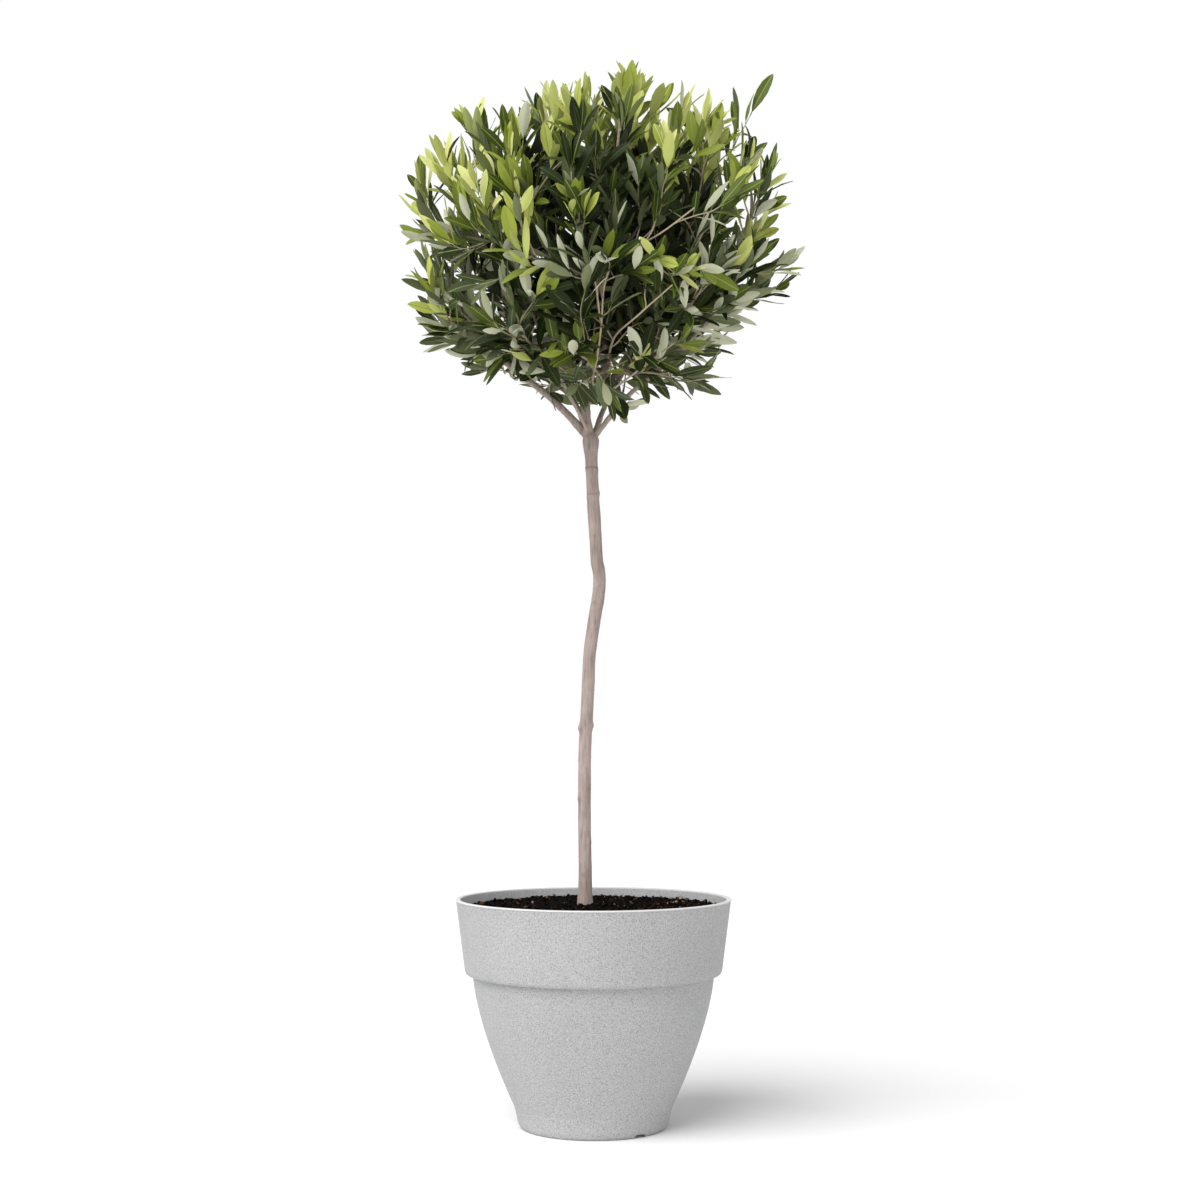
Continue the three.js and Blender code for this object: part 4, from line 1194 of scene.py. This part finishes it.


# upper sides of the leaves from old to young, which also serve as painted shade and painted light by where a leaf sits,
# the youngest partly a painted glow of light through the leaf; the painted shade of the ones inside, and two greyer
# ones
AGE_AND_LIGHT_TONES = [(0.016, 0.026, 0.0045), (0.048, 0.070, 0.0075), (0.122, 0.161, 0.0155), (0.262, 0.312, 0.036), (0.580, 0.605, 0.225)]
TOPS = [(0.006, 0.010, 0.0026)]
for k in range(2 * len(AGE_AND_LIGHT_TONES) - 1):
    a, b = AGE_AND_LIGHT_TONES[k // 2], AGE_AND_LIGHT_TONES[min(len(AGE_AND_LIGHT_TONES) - 1, (k + 1) // 2)]
    TOPS.append(tuple(math.sqrt(p * q) for p, q in zip(a, b)))
TOPS += [(0.056, 0.071, 0.032), (0.145, 0.168, 0.090)]
# undersides: 0 is the dark painted shade of leaves inside the head, 4 also serves as painted shade under dark tops, and
# 3, pale yellow-green, is partly a painted glow of light through young leaves
UNDERS = [(0.040, 0.047, 0.024), (0.215, 0.238, 0.126), (0.570, 0.585, 0.420), (0.500, 0.545, 0.165), (0.105, 0.126, 0.056),
          (0.155, 0.176, 0.084), (0.380, 0.400, 0.250), (0.195, 0.232, 0.078), (0.350, 0.395, 0.140)]
RIBS = [(0.060, 0.074, 0.024), (0.220, 0.268, 0.068), (0.500, 0.540, 0.190)]


def top_slot(tone_step):
    """Slot of an upper side: 0 inside the head (painted shade), 1 to 5 from old to young growth and from painted shade
    to painted light, with a little scatter, 6 greyish.
    """
    if tone_step == 0:
        return 0
    if tone_step == 6:
        return 10 + (rng.random() < 0.45)
    return 1 + max(0, min(8, 2 * (tone_step - 1) + rng.choice([-2, -1, 0, 0, 1])))


def tint_for(shoot):
    """Tint of a spray by where it grows, with painted light and shade by where it sits in the head: index of upper
    side.
    """
    rel = shoot["end"] - HEAD
    r = np.linalg.norm(rel)
    el = math.degrees(math.asin(rel[2] / r))
    left = -rel[0] / 210
    # sprays inside the head get the darkest tints: painted shade
    if shoot["kind"] == "inner":
        return rng.choices([0, 1, 2], [5, 4, 1])[0]
    # brighter towards the top and the left, where the key light falls: partly young growth, partly painted light;
    # darker low down, painted shade
    bright = 0.1 + 0.54 * smoothstep(el, -35, 40) + 0.16 * left * smoothstep(el, -30, 20) + rng.gauss(0, 0.2)
    if rel[1] < 0:  # the front is open in its middle, where older sprays deep in the head show, darker partly for their years and partly as painted shade
        middle = math.hypot(rel[0] - 12, rel[2]) / 205
        bright += 0.62 * (smoothstep(middle, 0.32, 0.9) - 0.84)
    bright += 0.1 if shoot["kind"] == "edge" and el > -20 else -0.12 if el < -40 else 0.25 * smoothstep(el, 18, 48)
    bright += 0.08 * smoothstep(-el, 5, 30)
    if el < 0 and rng.random() < 0.12 + 0.35 * smoothstep(-el, 0, 40):
        return 6
    for k, edge_ in enumerate((0.12, 0.27, 0.41, 0.59)):
        if bright < edge_:
            return k + 1
    return 5


def make_foliage(shoots, chains, load, front):
    twig_mats = [plain("twig_old", (0.205, 0.163, 0.124), 0.8, 0.2), plain("twig_tan", (0.400, 0.325, 0.225), 0.7, 0.3),
                 plain("twig_green", (0.330, 0.345, 0.170), 0.6, 0.35)]
    twigs = Soup()
    for p in front:
        tube(p, np.linspace(1.45, 0.7, len(p)) * (1 + 0.12 * (np.arange(len(p)) % 4 == 0)), 6, twigs, materials=[1] * len(p))
    for c in chains:
        n = len(c["points"])
        r = np.empty(n)
        mats = []
        for j, k in enumerate(c["ids"]):
            r[j] = 0.66 * max(1.0, load[k]) ** 0.42 if k >= 0 else r[j - 1]
        tail = [j for j, k in enumerate(c["ids"]) if k < 0]
        if tail:
            a, b = tail[0], n - 1
            for j in tail:
                r[j] = lerp(r[a - 1], 0.42, (j - a + 1) / max(1, b - a + 1))
        for j in range(1, n):
            r[j] = min(r[j], r[j - 1])
        r = np.clip(r, 0.42, 2.6)
        for j in range(n):
            mats.append(0 if r[j] > 1.25 else 1 if j < c["link"] + (n - c["link"]) * 0.55 else 2)
        knots = 1 + 0.2 * (np.arange(n) % 2 == 0) * (np.arange(n) >= c["link"])
        tube(c["points"], r * knots, 6 if r[0] > 1.6 else 5, twigs, materials=mats[: max(1, n - 1)] + [mats[-1]])
    leaves = []
    for s in shoots:
        if s["kind"] != "show":
            continue
        bx, bz, tx, tz, y, wide, tint, turned = SHOW_LEAVES[s["show"]]
        base, tip = np.array([bx, y, bz], float), np.array([tx, y, tz], float)
        seen = float(np.linalg.norm(tip - base))
        if seen < 2.5 * wide and y < -20:  # a leaf that leans out of the head looks shorter than it is
            tip[1] = max(-218.0, y - math.sqrt((2.5 * wide) ** 2 - seen**2))
        face = np.array([rng.uniform(-0.22, 0.22), 0.9 if turned else -0.9, -0.15 if turned else 0.3])
        long = float(np.linalg.norm(tip - base))
        rel = tip - HEAD
        under = (3 if tint >= 4 else 2) if turned else (2 if tint in (2, 3, 4) else 1 if tint < 5 else 3)
        leaves.append(dict(p=base, a=unit(tip - base), n=face, long=long, wide=max(3.5, wide * 0.86), bend=rng.gauss(0.12, 0.2), twist=rng.gauss(0, 0.2),
                           fold=rng.uniform(0.15, 0.4), sweep=rng.gauss(0, 0.03), top=tint, under=under,
                           rib=0 if tint <= 1 else 2 if tint == 5 else 1, inner=False, out=unit(rel),
                           el=math.degrees(math.asin(unit(rel)[2])), shoot=-1))
    twig_ob = twigs.build("twigs", twig_mats)

    for si, s in enumerate(shoots):
        tint = tint_for(s)
        if s["kind"] == "show":
            own = SHOW_LEAVES[s["show"]][6]
            tint = own if own in (1, 6) or s["end"][2] > 1060 else own - 1
        s["tint"] = tint
        inner = s["kind"] == "inner"
        axis = s["axis"]
        total = length_of(axis)
        sl = np.concatenate([[0], np.cumsum(np.linalg.norm(np.diff(axis, axis=0), axis=1))])
        tang = units(np.gradient(axis, axis=0))
        spacing = rng.uniform(10.5, 14.5) if not inner else rng.uniform(9, 12)
        az = rng.uniform(0, math.pi)
        out = unit(s["end"] - HEAD)
        el = math.degrees(math.asin(out[2]))
        low = el < -15
        size = rng.uniform(0.86, 1.12) * (0.95 if inner else 1.0)
        slim = rng.uniform(0.215, 0.29)
        at = total
        step = 0
        show = s["kind"] == "show"
        if show:  # its end leaf is already there
            spacing = rng.uniform(13, 17)
            at -= 2
            if rng.random() < 0.4:
                at -= spacing * 0.6
                step = 1
        while at > total * (0.1 if inner else 0.16):
            f = at / total
            p = np.array([np.interp(at, sl, axis[:, k]) for k in range(3)])
            t = unit([np.interp(at, sl, tang[:, k]) for k in range(3)])
            side = unit(np.cross(t, [0.31, 0.17, 0.93]))
            fwd = np.cross(t, side)
            for half in (0, 1):
                if rng.random() < (0.05 if f > 0.5 else 0.2):
                    continue
                if show and step == 0 and half == 0:
                    continue
                a = az + half * math.pi + rng.gauss(0, 0.16)
                radial = math.cos(a) * side + math.sin(a) * fwd
                if step == 0:
                    open_ = math.radians(rng.uniform(5, 18))
                    long = rng.uniform(32, 42)
                elif step == 1:
                    open_ = math.radians(rng.uniform(14, 28))
                    long = rng.uniform(36, 48)
                else:
                    open_ = math.radians(rng.uniform(20, 40) + 12 * (1 - f))
                    long = rng.uniform(38, 53)
                long *= size * (0.86 if f < 0.35 else 1)
                A = t * math.cos(open_) + radial * math.sin(open_)
                A = A + np.array([0, 0, 0.2 if not low else 0.02]) + nrng.normal(0, 0.07, 3)
                A = unit(A)
                ad = t - A * float(t @ A) + radial * -0.0
                ad = unit(ad) if np.linalg.norm(ad) > 0.05 else unit(-radial)
                if step == 0:
                    ad = unit(-radial - A * float(-radial @ A))
                light = unit(np.array([-0.12, -0.1, 0.75]) + out * 0.8)
                k1, k2, k3 = (0.4, 0.95, 0.28) if not low else (0.7, 0.5, 0.42) if out[0] < 0 else (0.62, 0.58, 0.4)
                N = ad * k1 + light * k2 + nrng.normal(0, k3, 3)
                wide = long * slim * rng.uniform(0.88, 1.14)
                top = tint
                if tint in (1, 2, 3, 4) and step <= 1 and rng.random() < 0.6 and not inner:
                    top = tint + 1
                # leaves low on a shoot, deep in its spray, are made darker: painted shade
                if tint != 6 and rng.random() < smoothstep(1 - f, 0.25, 0.7) * (0.85 if el < 30 else 0.38):
                    top = max(1, tint - 1 - (f < 0.4 and rng.random() < 0.5))
                if tint == 6 and rng.random() < 0.3:
                    top = 2
                # leaves inside the head get the dark underside 0, painted shade; young tops mostly get underside 3,
                # partly a painted glow of light through the leaf
                under = 0 if inner else (3 if top >= 4 and top != 6 and rng.random() < (0.7 if el < 35 else 0.85) else rng.choices([4, 7, 8, 6, 2], [3, 3, 2, 1, 0.6])[0] if el > 8 else rng.choices([4, 5, 1, 6, 2], [2, 2, 2, 2, 6.5])[0])
                # dark-topped leaves often get the dark underside 4: painted shade
                if not inner and top <= 1 and rng.random() < 0.5:
                    under = 4
                leaves.append(dict(p=p + radial * 0.5, a=A, n=N, long=long, wide=max(7.0, wide), bend=rng.gauss(0.22, 0.3), twist=rng.gauss(0, 0.28),
                                   fold=rng.uniform(0.1, 0.42), sweep=rng.gauss(0, 0.035), top=top, under=under,
                                   rib=0 if top <= 1 else 2 if top >= 5 and top != 6 else 1, inner=inner, out=out, el=el, shoot=si))
            az += math.pi / 2 + rng.gauss(0, 0.12)
            at -= spacing * (0.55 if step == 0 else 1.0)
            step += 1
    # keep everything in the head's own reach
    kept = []
    for l in leaves:
        tip = l["p"] + unit(l["a"]) * l["long"]
        rel = tip - HEAD
        d = unit(rel)
        if np.linalg.norm(rel) > outline(d) * 1.045 + 3 and l["shoot"] >= 0 and shoots[l["shoot"]]["kind"] != "edge":
            l["long"] *= 0.8
            l["wide"] *= 0.85
            rel = l["p"] + unit(l["a"]) * l["long"] - HEAD
            if np.linalg.norm(rel) > outline(unit(rel)) * 1.08 + 4:
                continue
        kept.append(l)
    leaves = kept
    return twig_ob, leaves


def leaf_pieces(leaves):
    names = ["top", "upper_left", "upper_right", "middle_left", "middle_right", "lower_left", "lower_right"]

    def piece(l):
        if l["el"] > 50:
            return "top"
        level = "upper" if l["el"] > 12 else "middle" if l["el"] > -26 else "lower"
        return level + ("_left" if l["out"][0] < 0 else "_right")

    tops = [plain(f"leaf_top_{k}", c, 0.65 if k == 0 or k > 9 else 0.46, 0.1 if k == 0 else 0.14 + 0.008 * k) for k, c in enumerate(TOPS)]
    unders = [plain(f"leaf_under_{k}", c, 0.85, 0.1) for k, c in enumerate(UNDERS)]
    ribs = [plain(f"leaf_rib_{k}", c, 0.65, 0.2) for k, c in enumerate(RIBS)]
    mats = tops + unders + ribs
    full, small = leaf_template(), small_leaf_template()
    made = {}
    for name in names:
        mine = [l for l in leaves if piece(l) == name]
        verts, faces, index, lookups = [], [], [], []
        start = 0
        for template, group in ((full, [l for l in mine if not l["inner"]]), (small, [l for l in mine if l["inner"]])):
            if not group:
                continue
            v = set_leaves(template, group)
            nv = v.shape[1]
            for k, l in enumerate(group):
                o = start + k * nv
                faces.extend([[i + o for i in f] for f in template[1]])
                slots = (top_slot(l["top"]), len(tops) + l["under"], len(tops) + len(unders) + l["rib"])
                index.extend([slots[p] for p in template[2]])
            lookups.append((start, start + len(group) * nv, nv, template[3]))
            verts.append(v.reshape(-1, 3))
            start += len(group) * nv

        def sharp(pairs, lookups=lookups):
            out = np.zeros(len(pairs), bool)
            for lo, hi, nv, edges in lookups:
                table = np.zeros((nv, nv), bool)
                for a, b in edges:
                    table[a, b] = table[b, a] = True
                inside = (pairs[:, 0] >= lo) & (pairs[:, 0] < hi)
                p = (pairs[inside] - lo) % nv
                out[inside] = table[p[:, 0], p[:, 1]]
            return out

        made[name] = make_mesh("leaves_" + name, np.vstack(verts), faces, mats, index, sharp=sharp)
    return made


# -------------------------------------------------------------------- assembly
def place(ob, slot, *nodes):
    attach(ob, "root")
    if nodes:
        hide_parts(*nodes)


pot = make_pot(pot_material())
place(pot, "pot_plastic", "pot")
bed, crumbs, chips = make_soil()
place(bed, "potting_mix", "soil")
place(crumbs, "potting_mix")
place(chips, "potting_mix")
wood, paths = make_wood(bark_material())
place(wood, "bark", *[n for n in NODES if n in ("stem", "leader") or n.startswith(("bough_", "limb_"))])
front = [curve_points(p, 26) for p in FRONT_TWIGS]
for k, p in enumerate(front):
    paths[f"front_{k}"] = (p, None)
rng.seed(26)
nrng = np.random.default_rng(26)
shoots = plan_shoots()
chains, load = grow(paths, shoots)
twigs, leaves = make_foliage(shoots, chains, load, front)
place(twigs, "bark")
pieces = leaf_pieces(leaves)
groups = {
    "top": ["foliage_top_right", "foliage_top_left", "foliage_top_back"],
    "upper_left": ["foliage_upper_left", "foliage_upper_back_left", "foliage_upper_front_left"],
    "upper_right": ["foliage_upper_right", "foliage_upper_back_right", "foliage_upper_front_right", "foliage_spire"],
    "middle_left": ["foliage_middle_left", "foliage_middle_back_left", "foliage_middle_front_left"],
    "middle_right": ["foliage_middle_right", "foliage_middle_back_right", "foliage_middle_front_right"],
    "lower_left": ["foliage_lower_left", "foliage_lower_back_left", "foliage_lower_front"],
    "lower_right": ["foliage_lower_right", "foliage_lower_back_right"],
}
for name, ob in pieces.items():
    place(ob, "foliage", *groups[name])
print("leaves", len(leaves), "shoots", len(shoots))
for ob in [pot, bed, crumbs, chips, wood, twigs, *pieces.values()]:
    ob.data.calc_loop_triangles()
    print(ob.name, len(ob.data.loop_triangles))

# ------------------------------------------------------------- floor and light
m, nt, bsdf = nodes_of("floor_paper")
bsdf.inputs["Base Color"].default_value = (0.93, 0.93, 0.93, 1)
bsdf.inputs["Roughness"].default_value = 0.9
bsdf.inputs["Specular IOR Level"].default_value = 0.1
sides = 96
ring = [(9000 * math.cos(2 * math.pi * k / sides), 9000 * math.sin(2 * math.pi * k / sides), -0.2) for k in range(sides)]
floor = make_mesh("floor", ring, [list(range(sides))], [m], smooth=False)

world = bpy.data.worlds.new("studio")
bpy.context.scene.world = world
world.use_nodes = True
wnt = world.node_tree
coords = wnt.nodes.new("ShaderNodeTexCoord")
split = wnt.nodes.new("ShaderNodeSeparateXYZ")
wnt.links.new(coords.outputs["Generated"], split.inputs[0])
# a white sweep all round, and a greyer ceiling over it
sky = ramp(wnt, split.outputs["Z"], [(0.42, grey(1.0)), (0.62, grey(0.26))])
wnt.links.new(sky, wnt.nodes["Background"].inputs[0])
wnt.nodes["Background"].inputs[1].default_value = 1.0

sun_data = bpy.data.lights.new("key", "SUN")
sun_data.energy = 3.05
sun_data.angle = math.radians(54)
sun = bpy.data.objects.new("key", sun_data)
sun.rotation_euler = Vector((0.50, 0.56, -0.98)).to_track_quat("-Z", "Y").to_euler()
bpy.context.scene.collection.objects.link(sun)

scene = bpy.context.scene
scene.view_settings.view_transform = "Standard"
scene.view_settings.look = "None"
scene.view_settings.exposure = 0
cam_data = bpy.data.cameras.new("camera")
cam_data.sensor_width = 36
cam_data.lens = 58.215
cam = bpy.data.objects.new("camera", cam_data)
cam.location = (0.007, -2.13, 0.4315)
cam.rotation_euler = (math.radians(93.7), 0, 0)
scene.collection.objects.link(cam)
scene.camera = cam
